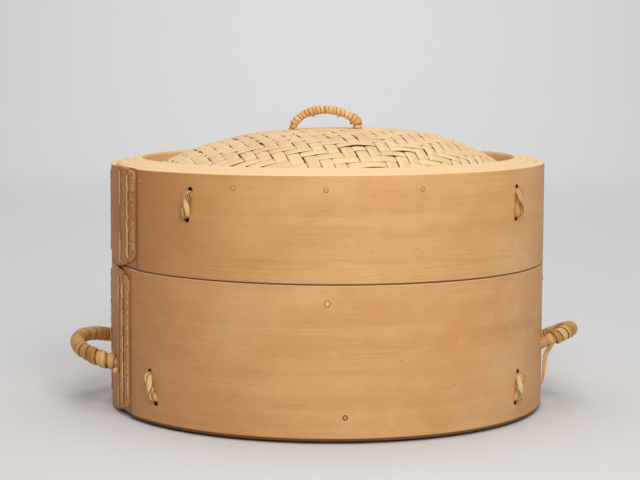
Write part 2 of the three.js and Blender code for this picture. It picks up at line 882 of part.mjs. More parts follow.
// Stay of the right handle: a thin closed loop over the core's foot, drawn into a hole low in the wall
const rightPart = sideHandleParts[1];
const rightFoot = footLength + stayDistance;
const overFoot = rightPart.curve.getPointAt(rightFoot / rightPart.curve.getLength());
const stayAzimuth = THREE.MathUtils.radToDeg(Math.atan2(overFoot.x, -overFoot.y));
const stayOut = outward(stayAzimuth);
const stayAcross = new THREE.Vector3(-stayOut.y, stayOut.x, 0);
const stayClear = coreRadius * stayStretch + stayRadius + restGap;
const stayRadial = Math.hypot(overFoot.x, overFoot.y);
const stayPoint = (across, radial, height) =>
  stayOut.clone().multiplyScalar(radial).addScaledVector(stayAcross, across).setZ(height);
const strandHalf = stayRadius + 0.5;
const holeDepth = wallOuterRadius - wallThickness / 2;
const stayRound = [230, 180, 135, 90, 45, 0, -50].map((turn) => {
  const angle = radians(turn);
  return stayPoint(stayClear * Math.cos(angle), stayRadial, overFoot.z + stayClear * Math.sin(angle));
});
const stayPath = new THREE.CatmullRomCurve3(
  [
    ...stayRound,
    stayPoint(strandHalf, wallOuterRadius + 3, rightStayHeight + 8),
    stayPoint(strandHalf, wallOuterRadius + stayRadius + 1, rightStayHeight + 1.6),
    stayPoint(strandHalf, holeDepth + 1.6, rightStayHeight),
    stayPoint(0, holeDepth, rightStayHeight),
    stayPoint(-strandHalf, holeDepth + 1.6, rightStayHeight),
    stayPoint(-strandHalf, wallOuterRadius + stayRadius + 1, rightStayHeight + 1.6),
    stayPoint(-strandHalf, wallOuterRadius + 3, rightStayHeight + 8),
  ],
  true,
  "centripetal",
);
const stayHole = toSolid(
  pin(
    polar(wallOuterRadius + 2, stayAzimuth, rightStayHeight),
    polar(holeDepth - stayRadius - 1, stayAzimuth, rightStayHeight),
    stayHoleRadius,
    coreSides,
  ),
);

// Stay of the left handle: a cane strip down the wall from a knot beside the foot, through at both ends
const leftPart = sideHandleParts[0];
const leftFootPoint = leftPart.curve.getPointAt(footLength / leftPart.curve.getLength());
const leftFootAzimuth = THREE.MathUtils.radToDeg(Math.atan2(leftFootPoint.x, -leftFootPoint.y));
const leftStayAzimuth = leftFootAzimuth + leftStayOffset;
const leftStayHigh = leftFootPoint.z - coreRadius;
const leftStayRow = { azimuth: leftStayAzimuth, footMargin: leftStayFoot, headMargin: 0 };
const leftStayKnot = new THREE.SphereGeometry(leftStayKnotRadius, 8, 6);
const knotRadial = wallOuterRadius + lapProud + stitchStandOff + leftStayKnotRadius;
const knotCentre = polar(knotRadial, leftStayAzimuth, leftStayHigh - leftStayKnotRadius / 2);
leftStayKnot.translate(knotCentre.x, knotCentre.y, knotCentre.z);
const leftStay = stitchRow(leftStayRow, basketBottom, leftStayHigh).add(toSolid(leftStayKnot));
const leftStayCuts = stitchSlots(leftStayRow, basketBottom, leftStayHigh);

// Basket
const basketCuts = [
  ...basketTieCuts,
  ...holes(collarPegs),
  ...holes(hoopPegs),
  ...basketStitchRows.flatMap((row) => stitchSlots(row, basketBottom, basketTop)),
  ...sideHandleParts.map((part) => part.hole),
  stayHole,
  ...leftStayCuts,
];
const basketWall = bentBoard(basketLapAzimuth, basketBottom, basketTop, baseEdgeRound, 0);
add(basket, "basket_wall", subtractAll(basketWall, basketCuts), cypress);

const collarBottom = basketTop - collarSeat;
const collarTop = basketTop + collarRise;
const collarProfile = [
  [firstHoopInner, collarBottom],
  [firstHoopRadius, collarBottom],
  [firstHoopRadius, basketTop],
  [firstHoopRadius - collarEase, collarTop - collarLeadIn],
  [firstHoopRadius - collarEase - collarLeadIn / 2, collarTop],
  [firstHoopInner, collarTop],
];
const collar = toSolid(turned(collarProfile, hoopSegments));
add(basket, "collar_hoop", subtractAll(collar, holes(collarPegs)), cypress);

const baseHoop = hoop(firstHoopRadius, hoopThickness, 0, baseHoopTop);
add(basket, "base_hoop", subtractAll(baseHoop, [...basketTieCuts, ...holes(hoopPegs)]), cypress);

const [frontLeft, frontRight, backRight, backLeft] = basketTieAzimuths;
add(basket, "support_bar_front", subtractAll(supportBar(frontLeft, frontRight), basketTieCuts), bamboo);
add(basket, "support_bar_back", subtractAll(supportBar(backLeft, backRight), basketTieCuts), bamboo);

basketTieCurves.forEach((points, i) => {
  const name = "basket_tie_" + basketTieAzimuths[i].name;
  add(basket, name, ringTube(points, tieRadius, tieSides), cane);
});
basketStitchRows.forEach((row) => {
  add(basket, "basket_stitch_" + row.name, stitchRow(row, basketBottom, basketTop), cane);
});
[...collarPegs, ...hoopPegs].forEach((peg) => add(basket, peg.name, peg.solid, pegWood));
sideHandleParts.forEach((part) => {
  add(basket, part.handle.name + "_core", part.core, cane);
  add(basket, part.handle.name + "_wrap", part.wrap, cane);
});
add(basket, "left_handle_stay", leftStay, cane);
const stayStations = evenStations(0, stayPath.getLength(), staySteps, stayRadius).slice(0, -1);
add(basket, "right_handle_stay", tube(stayPath, stayStations, tieSides, true), cane);

// Lid
const topHandleAxis = outward(90 - topHandleTurnAngle);
const topHandlePoint = (along, height) => topHandleAxis.clone().multiplyScalar(along).setZ(height);
const crossRibTop = matTop + domeRise - matThickness - 2 * lashingRadius - 2 * restGap;
const ribTop = [crossRibTop - ribThickness / 2, crossRibTop - ribThickness * 1.5 - restGap];
const ribEnd = (lidTieUpper + lidTieLower) / 2 - ribThickness / 2;
const crossingAngle = radians(90 - topHandleTurnAngle - lidTieAzimuths[1].upper);
const crossingReach = (ribWidth + crossbarWidth) / 2 / Math.sin(crossingAngle);
const crossbarTop = ribHeight(crossingReach, ribTop[1], ribEnd) - ribThickness / 2 - restGap;
const crossbarBottom = crossbarTop - crossbarHeight;

const footOver = matTop + domeRise;
const handleFeet = topHandleArch.map(([along, rise]) =>
  topHandlePoint(topHandleOffset + along * topHandleHalfSpan, footOver + rise * topHandleRise),
);
const firstFoot = handleFeet[0];
const lastFoot = handleFeet[handleFeet.length - 1];
const under = crossbarBottom - knotLength - 2 * restGap - 0.5;
const legPoint = (foot, height) => foot.clone().setZ(height);
const topCurve = new THREE.CatmullRomCurve3(
  [
    legPoint(firstFoot, under),
    legPoint(firstFoot, crossbarTop),
    ...handleFeet,
    legPoint(lastFoot, crossbarTop),
    legPoint(lastFoot, under),
  ],
  false,
  "centripetal",
);
const topLength = topCurve.getLength();
const topCore = knottedCore(topCurve, topCoreRadius, topKnotRadius);
const topHole = coreBore(topCurve, topCoreRadius);
const topWrapOuter = topCoreRadius + wrapGap + topWrapThickness;
const wrapStart = footOver - under + topWrapOuter;
const topWrap = windStrip(
  topCurve,
  wrapStart,
  topLength - wrapStart,
  topHandleTurns,
  topCoreRadius + wrapGap,
  topWrapThickness,
  "top_handle_wrap",
);

const lidWall = bentBoard(lidLapAzimuth, lidBottom, lidTop, 0, lidTopRound);
const lidCuts = [
  ...lidTieCuts,
  ...holes(lidPegs),
  ...lidStitchRows.flatMap((row) => stitchSlots(row, lidBottom, lidTop)),
];
add(lid, "lid_wall", subtractAll(lidWall, lidCuts), cypressLid);

const ringCuts = [...lidTieCuts, ...holes(lidPegs)];
const liner = hoop(firstHoopRadius, hoopThickness, lidTop - linerHeight, lidTop);
add(lid, "lid_liner", subtractAll(liner, ringCuts), cypressLid);
const middleHoop = hoop(middleHoopRadius, innerHoopThickness, lidTop - middleHoopHeight, lidTop);
add(lid, "middle_hoop", subtractAll(middleHoop, ringCuts), cypressLid);
const clampHoop = hoop(innerHoopRadius, innerHoopThickness, lidTop - clampHoopHeight, lidTop);
add(lid, "mat_clamp_hoop", subtractAll(clampHoop, lidTieCuts), cypressLid);
const restHoop = hoop(innerHoopRadius, innerHoopThickness, restHoopTop - restHoopHeight, restHoopTop);
add(lid, "mat_rest_hoop", subtractAll(restHoop, lidTieCuts), cypressLid);

add(lid, "woven_dome", subtractAll(domedMat(), [...lidTieCuts, topHole]), weave);

const ribAzimuths = [lidTieAzimuths[0], lidTieAzimuths[1]].map((tie) => (tie.upper + tie.lower) / 2);
ribAzimuths.forEach((azimuth, i) => {
  const solid = rib(azimuth, ribTop[i], ribEnd);
  add(lid, "dome_rib_" + (i + 1), subtractAll(solid, [...lidTieCuts, topHole]), bamboo);
});
const crossbarBox = new THREE.BoxGeometry(crossbarLength, crossbarWidth, crossbarHeight);
crossbarBox.rotateZ(radians(topHandleTurnAngle));
const crossbarMiddle = topHandlePoint(topHandleOffset, crossbarTop - crossbarHeight / 2);
crossbarBox.translate(crossbarMiddle.x, crossbarMiddle.y, crossbarMiddle.z);
add(lid, "handle_crossbar", toSolid(crossbarBox).subtract(topHole), bamboo);

// Lashing that binds the two ribs and the crossbar where they cross
const lashingTop = crossRibTop + restGap + lashingRadius;
const lashingBottom = crossbarBottom - restGap - lashingRadius;
const lashOut = outward(lashingAzimuth);
const lashingPoints = [
  [-1, 0.35],
  [-0.8, 1],
  [0.8, 1],
  [1, 0.35],
  [0.8, 0],
  [-0.8, 0],
].map(([across, up]) =>
  lashOut
    .clone()
    .multiplyScalar(across * lashingHalfWidth)
    .setZ(lashingBottom + up * (lashingTop - lashingBottom)),
);
add(lid, "rib_lashing", ringTube(lashingPoints, lashingRadius, tieSides), cane);

lidTieCurves.forEach((points, i) => {
  const name = "lid_tie_" + lidTieAzimuths[i].name;
  add(lid, name, ringTube(points, tieRadius, tieSides), cane);
});
lidStitchRows.forEach((row) => {
  add(lid, "lid_stitch_" + row.name, stitchRow(row, lidBottom, lidTop), cane);
});
lidPegs.forEach((peg) => add(lid, peg.name, peg.solid, pegWood));
add(lid, "top_handle_core", topCore, cane);
add(lid, "top_handle_wrap", topWrap, cane);

// Grate: slats across two battens, as many as the circle holds
const slatCount = 2 * Math.floor((grateRadius - slatWidth / 2) / slatPitch) + 1;
for (let i = 0; i < slatCount; i++) {
  const offset = (i - (slatCount - 1) / 2) * slatPitch;
  add(grate, "grate_slat_" + (i + 1), slat(offset), bamboo);
}
add(grate, "grate_batten_front", batten(-battenOffset), bamboo);
add(grate, "grate_batten_back", batten(battenOffset), bamboo);

const steamer = new THREE.Group();
steamer.add(basket, lid, grate);

export default steamer;
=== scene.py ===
"""A round wooden steamer, dressed: bent boards, wound rattan handles and a woven bamboo dome.

Everything is in metres, +Z up, with the front towards -Y. Azimuths are degrees from the front,
positive towards +X. The hoop in the basket's foot stands on z = 0.
"""

import bpy
import numpy as np
from mathutils import Matrix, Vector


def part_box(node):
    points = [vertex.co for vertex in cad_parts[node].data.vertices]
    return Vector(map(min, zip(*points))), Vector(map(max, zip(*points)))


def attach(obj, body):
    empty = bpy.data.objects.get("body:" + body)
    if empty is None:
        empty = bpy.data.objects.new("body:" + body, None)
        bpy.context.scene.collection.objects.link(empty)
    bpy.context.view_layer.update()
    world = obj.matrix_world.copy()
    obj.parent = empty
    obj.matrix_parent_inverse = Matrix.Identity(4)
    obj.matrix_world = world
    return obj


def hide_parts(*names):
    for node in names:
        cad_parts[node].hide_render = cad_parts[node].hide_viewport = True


bl_info = {
    "name": "Wooden Steamer",
    "version": (1, 0, 0),
    "blender": (4, 5, 0),
    "location": "3D Viewport > Sidebar > Steamer",
    "description": "Bent boards, wound handles and woven dome of a wooden steamer",
    "category": "Add Mesh",
}

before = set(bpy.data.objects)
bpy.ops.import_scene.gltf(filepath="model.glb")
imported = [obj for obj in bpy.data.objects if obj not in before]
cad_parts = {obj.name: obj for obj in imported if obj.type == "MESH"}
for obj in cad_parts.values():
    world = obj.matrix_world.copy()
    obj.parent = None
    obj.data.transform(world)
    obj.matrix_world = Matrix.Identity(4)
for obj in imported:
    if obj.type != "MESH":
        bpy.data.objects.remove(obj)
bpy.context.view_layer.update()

MM = 0.001
UP = np.array([0, 0, 1.0])
# Edges that turn by more degrees than this stay sharp
SHARP = 38

RING_RADIUS = 0.18
RING_LENGTH = 2 * np.pi * RING_RADIUS
BASKET_BOTTOM, BASKET_TOP = (corner.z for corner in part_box("basket_wall"))
LID_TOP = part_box("lid_wall")[1].z
MAT_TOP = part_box("mat_clamp_hoop")[0].z - 0.3 * MM

# Boards: where each outer end lies, and the lap that runs from it towards the left and the back
LAPS = {"basket": -61.5, "lid": -57.5}
LAP_SPAN = 38.0
LAP_END_THICKNESS = 2.4 * MM
LAP_TIP_THICKNESS = 0.6 * MM
LAP_PROUD = 0.8 * MM
LAP_GAP = 0.3 * MM
LAP_RUN_OUT = 0.4
# Angle and power of the round tips, easing of the inner edges at the foot and at the head in mm,
# and the greatest easing as a share of the thickness
TIP_SPAN = 1.6
TIP_POWER = 2.5
INNER_EASES = (0.5, 0.6)
EASE_LIMIT = 0.45

# How far each corner of a board's outer end is cut back, foot then head: height, angle, power and
# the height of the round tip
CORNERS = {
    "basket": ((8 * MM, 12.0, 1.5, 3 * MM), (9 * MM, 12.0, 1.5, 3 * MM)),
    "lid": ((9.5 * MM, 11.0, 1.3, 5 * MM), (3.2 * MM, 7.0, 1.0, 4 * MM)),
}

# Wood of the boards: base, dark and pale colour, height of the figure on the map, its share and
# the share of the patina, partly painted shade. In mm, the pale rim past half the thickness, partly
# painted highlight, the foot darkened as painted shade, the stitch rows, and the easing of the outer
# edge at the foot and at the head
BOARDS = (
    ("basket", ("D4A16B", "AC7541", "E8C08A"), 0.9475, 0.1, 0.46, 0.25, 3.0, (11.3, 22.9), (2.0, 0.6)),
    ("lid", ("DCA970", "B27A43", "EEC990"), 0.927, 0.16, 0.66, 0.5, 1.7, (13.5, 31.4), (0.6, 0.5)),
)

# Growth rings: their width, the blunt tip of their arches and how they drift along the board
GROWTH_RING = 2.4 * MM
FIGURE_TIP = 5 * MM
FIGURE_DRIFT = -0.03

# Planed rim: how it leans to the right and to the back, where it starts and how far it falls
RIM_LEAN = (0.0054, -0.0074)
RIM_START = 156 * MM
RIM_WIDTH = 24 * MM
RIM_FALL = (3.7, 0.8)

# Ties of each body: azimuths of the upper and lower hole, heights of the upper and lower bend
# outside in mm, and the way the two strands turn. Then the heights of the lower and the upper run
# inside, and how near the axis they come
TIES = {
    "basket": (
        (
            (-50.8, -48.2, 42.0, 22.2, 1),
            (57.6, 56.5, 39.9, 20.3, -1),
            (128.9, 130.6, 41.2, 21.0, 1),
            (-121.9, -122.2, 41.5, 21.4, -1),
        ),
        (BASKET_BOTTOM + 15.4 * MM, BASKET_BOTTOM + 40.7 * MM),
        164.2 * MM,
    ),
    "lid": (
        (
            (-35.7, -36.8, 188.2, 169.6, -1),
            (55.6, 55.4, 188.0, 167.9, -1),
            (143.6, 142.6, 188.3, 168.5, 1),
            (-124.4, -123.8, 188.0, 168.8, -1),
        ),
        (LID_TOP - 42.3 * MM, LID_TOP - 16.4 * MM),
        149.9 * MM,
    ),
}
TIE_STAND = 2.8 * MM
TIE_CORNER = 4 * MM
TIE_NAMES = ("front_left", "front_right", "back_right", "back_left")
# Length of one twist, and where the wall starts and how far from there the strands draw together
TIE_TWIST = 40 * MM
TIE_WALL = 182 * MM
TIE_EASING = 2.5 * MM
# Strands in mm: how far they lie apart along the wall and away from it, and their half width and
# half thickness, each with what it loses inside the wall
STRAND_SIZES = ((2.3, 1.3), (1.3, 0.5), (2.6, 1.3), (1.45, 0.5))
# Holes of the ties: radius, how far past the cane's middle they lie in mm, and the hoops' depths
TIE_HOLE = 2.4 * MM
TIE_PAST = 1.8
HOOP_CUTS = (0.14, 0.19)

# Pegs of each body: node prefix, azimuths, height and radius, and the look of their heads: name,
# pale end grain, dark ring and the share of the radius that is pale
PEGS = {
    "lid": (
        (
            ("lid_peg_", (-54.8, -23.4, -0.4, 23.5, 100, 180), LID_TOP - 13.6 * MM, 1.8 * MM),
            ("peg_end_flush", "D2A068", "A87442", 0.7),
        ),
    ),
    "basket": (
        (
            ("collar_peg_", (0, 84, 180), BASKET_TOP - 13.7 * MM, 2.5 * MM),
            ("peg_end_pale", "E5B57A", "A87A42", 0.62),
        ),
        (
            ("base_hoop_peg_", (4.5, 110, -140), BASKET_BOTTOM + 18.5 * MM, 2.1 * MM),
            ("peg_end_dark", "BE8A54", "5A320C", 0.6),
        ),
    ),
}
PEG_ROOM = 0.1 * MM
# Hole of the right handle's stay
STAY_AZIMUTH = 80.7
STAY_HEIGHT = BASKET_BOTTOM + 16.8 * MM
STAY_HOLE = 2.9 * MM

# Windings: points a turn, how much of its room a turn fills, how far turns lift and stray, the
# share of its width by which a strip is arched, and over how much length a bulge rises
WINDING_STEPS = 36
WINDING_FILL = (0.85, 0.97)
WINDING_LIFT = 0.5 * MM
WINDING_STRAY = 0.04
WINDING_ARCH = 0.07
BULGE_RAMP = 3 * MM

# Side handles: radius of the pole, and radius and length of its ends. How far the feet run into
# the wall, the winding's inner radius, the stretch of doubled turns and where the stay crosses
POLE_RADIUS = 4.3 * MM
POLE_END_RADIUS = 5.6 * MM
POLE_END = 5 * MM
HANDLE_FOOT = 17.1 * MM
WINDING_RADIUS = 4.4 * MM
DOUBLED_STRETCH = 26 * MM
STAY_CROSSING = 8.6 * MM

# Stitches: thickness, and length as a share of their pitch. Cane ends: thickness, how far they
# reach past the board's end and how far they stand off it
STITCH_THICKNESS = 0.95 * MM
STITCH_OVERLAP = 1.18
TICK_THICKNESS = 0.7 * MM
TICK_PAST = 1.1 * MM
TICK_STAND = 0.35 * MM

# Cane and rattan: base, dark and pale colour, and the share of the way round that is darkened at
# the edges as painted shade of the gaps between turns and strands
CANES = {
    "split_cane_strip": ("C58F54", "7E4B1F", "E6BE86", 0.05),
    "winding_cane": ("B07230", "3E2008", "EAC07C", 0.15),
    "golden_winding_cane": ("DBA25A", "94602A", "F6D89E", 0.035),
    "bare_rattan_pole": ("C8965C", "83532A", "DDB27A", 0.0),
    "twisted_tie_cane": ("D6A25C", "4E260A", "F2D296", 0.14),
    "sewing_cane": ("DFAE6E", "5E3412", "F6D8A4", 0.1),
    "sewing_cane_ends": ("D9A053", "8A5526", "F0C27E", 0.02),
}

# Dome: rise and the power of its profile, how far the crown lies aside and tilts, and its radii
DOME_RISE = 37.3 * MM
DOME_POWER = 2.9
CROWN_SHIFT = 9 * MM
CROWN_TILT = 2.2 * MM
DOME_RADIUS = 154.7 * MM
MAT_RADIUS = 160.0 * MM
MAT_MIDDLE = MAT_TOP - 1.35 * MM

# Weave: where its middle lies, thickness of a strip, how far it swings up and down, the share of a
# crossing over which it does, and how far strips bow sideways over what length
WEAVE_CENTRE = (-6.8 * MM, 0.0)
STRIP_THICKNESS = 0.85 * MM
STRIP_LIFT = 0.62 * MM
STRIP_EASING = 0.55
STRIP_BOW = 4 * MM
STRIP_BOW_SPAN = 0.12

# Slits in the mat: run (0 front to back), strip, side, place along, half length and depth, in mm
SLITS = (
    (1, -9, -1, 0.0, 9.0, 3.8),
    (1, -13, -1, 5.0, 10.0, 1.5),
    (1, -14, 1, 5.0, 10.0, 1.3),
    (1, -11, -1, 25.5, 6.5, 1.4),
    (1, -12, 1, 25.5, 6.5, 1.0),
    (1, -10, -1, 38.8, 8.0, 1.8),
    (1, -11, 1, 38.8, 8.0, 1.5),
)


def linear(code):
    """Turns an sRGB colour written as six hex digits into linear red, green, blue and alpha."""
    parts = np.array([int(code[i : i + 2], 16) for i in (0, 2, 4)]) / 255
    low = parts / 12.92
    high = ((parts + 0.055) / 1.055) ** 2.4
    return (*np.where(parts <= 0.04045, low, high).tolist(), 1.0)


# ---- Surfaces -------------------------------------------------------------------------------


def outward(azimuth):
    """Unit vectors in plan for azimuths in degrees: (sin, -cos, 0)."""
    angle = np.radians(np.asarray(azimuth, float))
    return np.stack([np.sin(angle), -np.cos(angle), np.zeros_like(angle)], -1)


def sideways(azimuth):
    """The unit vector along the wall at an azimuth in degrees: (cos, sin, 0)."""
    out = outward(azimuth)
    return np.array([-out[1], out[0], 0.0])


def full_turn(count):
    """Evenly spaced angles once round a circle, in radians."""
    return np.linspace(0, 2 * np.pi, count, endpoint=False)


def grid_surface(points, u, v=None, wrap_u=False, wrap_v=True, tone=0.0):
    """Quads over a grid of points with rows along u and columns along v.

    u and v are the map coordinates of the rows and columns, one more than the points where the
    grid wraps. Without a v, it runs from 0 to 1. Where only the columns wrap, both ends are closed.
    Faces point to the side from which rows run up and columns run to the left, but those of a
    closed surface are turned over where its volume, the sum over all triangles a, b, c of
    (a cross b) dot c / 6, would be negative, so that they face outwards.
    """
    rows, columns = points.shape[:2]
    if v is None:
        v = np.linspace(0, 1, columns + 1)
    i = np.arange(rows if wrap_u else rows - 1)[:, None]
    j = np.arange(columns if wrap_v else columns - 1)[None, :]
    i, j = np.broadcast_arrays(i, j)
    i2, j2 = (i + 1) % rows, (j + 1) % columns
    quads = np.stack([i * columns + j, i2 * columns + j, i2 * columns + j2, i * columns + j2], -1)
    uv = np.stack([u[i], v[j], u[i + 1], v[j], u[i + 1], v[j + 1], u[i], v[j + 1]], -1)
    quads, uv = quads.reshape(-1, 4), uv.reshape(-1, 4, 2)
    fans = np.zeros((0, 3), int)
    if wrap_v and not wrap_u:
        k = np.arange(1, columns - 1)
        last = (rows - 1) * columns
        fans = np.concatenate([np.stack([0 * k, k, k + 1], -1), last + np.stack([0 * k, k + 1, k], -1)])
    if wrap_v:
        corners = points.reshape(-1, 3)[np.concatenate([quads[:, :3], quads[:, [0, 2, 3]], fans])]
        if np.sum(np.cross(corners[:, 0], corners[:, 1]) * corners[:, 2]) < 0:
            quads, uv, fans = quads[:, ::-1], uv[:, ::-1], fans[:, ::-1]
    tone = np.broadcast_to(tone, (rows, columns)).reshape(-1)
    return {"points": points.reshape(-1, 3), "quads": quads, "uv": uv, "fans": fans, "tone": tone}


def new_mesh(name, surfaces):
    """One mesh of all the surfaces: the quads of each, then the fans that close them."""
    offsets = np.cumsum([0] + [len(s["points"]) for s in surfaces])
    faces = []
    for kind in ("quads", "fans"):
        faces += np.concatenate([s[kind] + o for s, o in zip(surfaces, offsets)]).tolist()
    mesh = bpy.data.meshes.new(name)
    mesh.from_pydata(np.concatenate([s["points"] for s in surfaces]).tolist(), [], faces)
    return mesh


def add_object(name, data):
    """A new object that holds the data, in the scene."""
    made = bpy.data.objects.new(name, data)
    bpy.context.scene.collection.objects.link(made)
    return made


def make_piece(name, surfaces, material, body, slot, *replaced, sharp=SHARP):
    """Joins surfaces into one mesh object that rides on a body and stands for its CAD nodes.

    The slot is not used.
    """
    mesh = new_mesh(name, surfaces)
    uv = np.zeros((len(mesh.loops), 2))
    quad_uv = np.concatenate([s["uv"].reshape(-1, 2) for s in surfaces])
    uv[: len(quad_uv)] = quad_uv
    mesh.uv_layers.new(name="along").data.foreach_set("uv", uv.ravel())
    tone = np.concatenate([s["tone"] for s in surfaces]).astype(np.float32)
    mesh.attributes.new("tone", "FLOAT", "POINT").data.foreach_set("value", tone)
    mesh.materials.append(material)
    piece = add_object(name, mesh)
    smooth(mesh, sharp)
    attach(piece, body)
    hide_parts(*replaced)
    return piece


def smooth(mesh, angle):
    """Smooth shading, broken at edges that turn by more than the angle in degrees."""
    mesh.polygons.foreach_set("use_smooth", np.ones(len(mesh.polygons), bool))
    mesh.set_sharp_from_angle(angle=np.radians(angle))
    mesh.update()


def cut_holes(piece, surfaces):
    """Takes closed surfaces out of a piece with an exact boolean. The holes' walls are in shade."""
    mesh = new_mesh("cutter", surfaces)
    shade = finish("shaded_hole_wood", board_material, "6B3C1A", "3E200C", "8A5528", 0.96)
    piece.data.materials.append(shade)
    for material in piece.data.materials:
        mesh.materials.append(material)
    mesh.polygons.foreach_set("material_index", np.ones(len(mesh.polygons), dtype=np.int32))
    cutter = add_object("cutter", mesh)
    modifier = piece.modifiers.new("holes", "BOOLEAN")
    modifier.operation = "DIFFERENCE"
    modifier.solver = "EXACT"
    modifier.object = cutter
    graph = bpy.context.evaluated_depsgraph_get()
    cut = bpy.data.meshes.new_from_object(piece.evaluated_get(graph))
    piece.modifiers.remove(modifier)
    piece.data = cut
    bpy.data.objects.remove(cutter)
    bpy.data.meshes.remove(mesh)
    smooth(cut, SHARP)


def arc_lengths(points):
    """Distance along a line of points, from zero at its first."""
    steps = np.linalg.norm(np.diff(points, axis=0), axis=1)
    return np.concatenate([[0], np.cumsum(steps)])


def line_frames(points, reference, closed=False):
    """Unit tangent, side and upward vectors along a line whose bend stays near one plane.

    The side vector is the reference with its part along the tangent taken out, and the third
    vector is the cross product of tangent and side.
    """
    if closed:
        tangent = np.roll(points, -1, 0) - np.roll(points, 1, 0)
    else:
        tangent = np.gradient(points, axis=0)
    tangent /= np.linalg.norm(tangent, axis=1, keepdims=True)
    reference = np.broadcast_to(reference, tangent.shape)
    side = reference - (reference * tangent).sum(1, keepdims=True) * tangent
    side /= np.linalg.norm(side, axis=1, keepdims=True)
    return tangent, side, np.cross(tangent, side)


def sample(table, at, values):
    """Linear interpolation of rows of values at distances, for an array of any shape."""
    flat = [np.interp(at.ravel(), table, values[:, k]) for k in range(3)]
    return np.stack(flat, -1).reshape(*at.shape, 3)


def resample(points, count):
    """The same line with evenly spaced points."""
    table = arc_lengths(points)
    return sample(table, np.linspace(0, table[-1], count), points)


def round_corners(corners, steps):
    """An outline in radius and height, with a quarter of a circle at each corner.

    A corner has its radius and height, the ways from it to the circle's middle, the angle at which
    the quarter starts, and the circle's size. Rows of values give a row of outlines.
    """
    parts = []
    for radius, height, inwards, upwards, turn, size in corners:
        radius, height, size = (np.asarray(value)[..., None] for value in (radius, height, size))
        bend = np.radians(turn + np.linspace(0, 90, steps))
        r = radius + inwards * size + size * np.cos(bend)
        z = height + upwards * size + size * np.sin(bend)
        parts.append(np.stack([r, z], -1))
    return np.concatenate(parts, -2)


def rounded_section(count, power, height=1.0):
    """A strip's closed outline, 1 wide: a superellipse of the given power, as across and up."""
    turn = full_turn(count)
    across = np.sign(np.cos(turn)) * np.abs(np.cos(turn)) ** (2 / power) / 2
    up = np.sign(np.sin(turn)) * np.abs(np.sin(turn)) ** (2 / power) * height / 2
    return across, up


def round_tube(points, reference, radius, sides):
    """A tube round a line: each ring is radius times cosine of side plus sine of up."""
    _, side, up = line_frames(points, reference)
    turn = full_turn(sides)[None, :, None]
    size = np.broadcast_to(radius, len(points))[:, None, None]
    grid = points[:, None] + size * (side[:, None] * np.cos(turn) + up[:, None] * np.sin(turn))
    return grid_surface(grid, arc_lengths(points))


def wound_strip(points, reference, start, end, shares, inner, thickness, rng, bulge=(0.0, 0.0, 1)):
    """A flat cane strip wound round a core.

    Turn k of the strip covers the core from edge k to edge k + 1, and the edges divide the wound
    length by the shares. A point of its section lies an amount across, measured along the core,
    and an amount up, measured away from it: core point + (inner radius + up) * (cos turn * side +
    sin turn * up vector). The outer side is arched by 0.07 of the strip's width. The bulge is a
    height, the place along from which the strip is raised by it, over 3 mm, and the way it lies.
    """
    _, side, up = line_frames(points, reference)
    table = arc_lengths(points)
    edges = start + (end - start) * np.cumsum([0, *shares]) / np.sum(shares)
    turns = len(shares) - 1
    count = np.linspace(0, turns, turns * WINDING_STEPS + 1)
    knots = np.arange(turns + 2)

    def uneven(least, most):
        return np.interp(count, knots, rng.uniform(least, most, turns + 2))

    low, high = np.interp(count, knots, edges), np.interp(count + 1, knots, edges)
    pitch = high - low
    widths = uneven(*WINDING_FILL) * pitch
    lifts = uneven(0, WINDING_LIFT)
    middle = (low + high) / 2 + uneven(-WINDING_STRAY, WINDING_STRAY) * pitch
    raised, place, way = bulge
    lifts = lifts + raised * np.clip(way * (middle - place) / BULGE_RAMP, 0, 1)
    across, rise = rounded_section(12, 2.4, thickness)
    at = middle[:, None] + across[None, :] * widths[:, None]
    centre, s, t = (sample(table, at, values) for values in (points, side, up))
    arched = np.where(rise > 0, WINDING_ARCH * (1 - (2 * across) ** 2), 0)
    away = inner + thickness / 2 + lifts[:, None] + rise[None, :] + arched[None, :] * widths[:, None]
    angle = 2 * np.pi * count[:, None, None]
    grid = centre + away[..., None] * (np.cos(angle) * s + np.sin(angle) * t)
    along = 2 * np.pi * count * (inner + thickness)
    return grid_surface(grid, along, tone=uneven(0, 1)[:, None])


def flat_strip(points, reference, width, thickness, tone):
    """A flat strip carried along a line, with its wide side along the reference vector."""
    _, side, up = line_frames(points, reference)
    across, rise = rounded_section(10, 2.6)
    wide = np.broadcast_to(width, len(points))[:, None, None]
    grid = points[:, None] + side[:, None] * across[None, :, None] * wide
    grid = grid + up[:, None] * rise[None, :, None] * thickness
    return grid_surface(grid, arc_lengths(points), tone=tone)


# ---- Materials ------------------------------------------------------------------------------


def set_inputs(tree, node, inputs):
    """Gives a node's inputs a value each, or a link from a socket or from a node's own output."""
    for key, value in inputs.items():
        if isinstance(value, bpy.types.Node):
            value = next(output for output in value.outputs if output.enabled)
        if isinstance(value, bpy.types.NodeSocket):
            tree.links.new(value, node.inputs[key])
        else:
            node.inputs[key].default_value = value


def add_node(tree, kind, inputs=None, **settings):
    """Adds a shader node with its settings and inputs, in rows of twelve in the node editor."""
    row, place = divmod(len(tree.nodes), 12)
    made = tree.nodes.new("ShaderNode" + kind)
    made.location = (200 * place - 2600, -300 * row)
    for key, value in settings.items():
        setattr(made, key, value)
    set_inputs(tree, made, inputs or {})
    return made


def add_map(tree):
    """The map coordinates, and their two parts."""
    uv = add_node(tree, "UVMap", uv_map="along")
    parts = add_node(tree, "SeparateXYZ", {0: uv})
    return uv, parts.outputs["X"], parts.outputs["Y"]


def add_noise(tree, vector, along, across, detail, location=(0, 0, 0)):
    """Noise with its scales along and across in waves a metre."""
    place = {"Vector": vector, "Location": location, "Scale": (along, across, 1)}
    mapped = add_node(tree, "Mapping", place)
    return add_node(tree, "TexNoise", {"Vector": mapped, "Scale": 1.0, "Detail": detail})


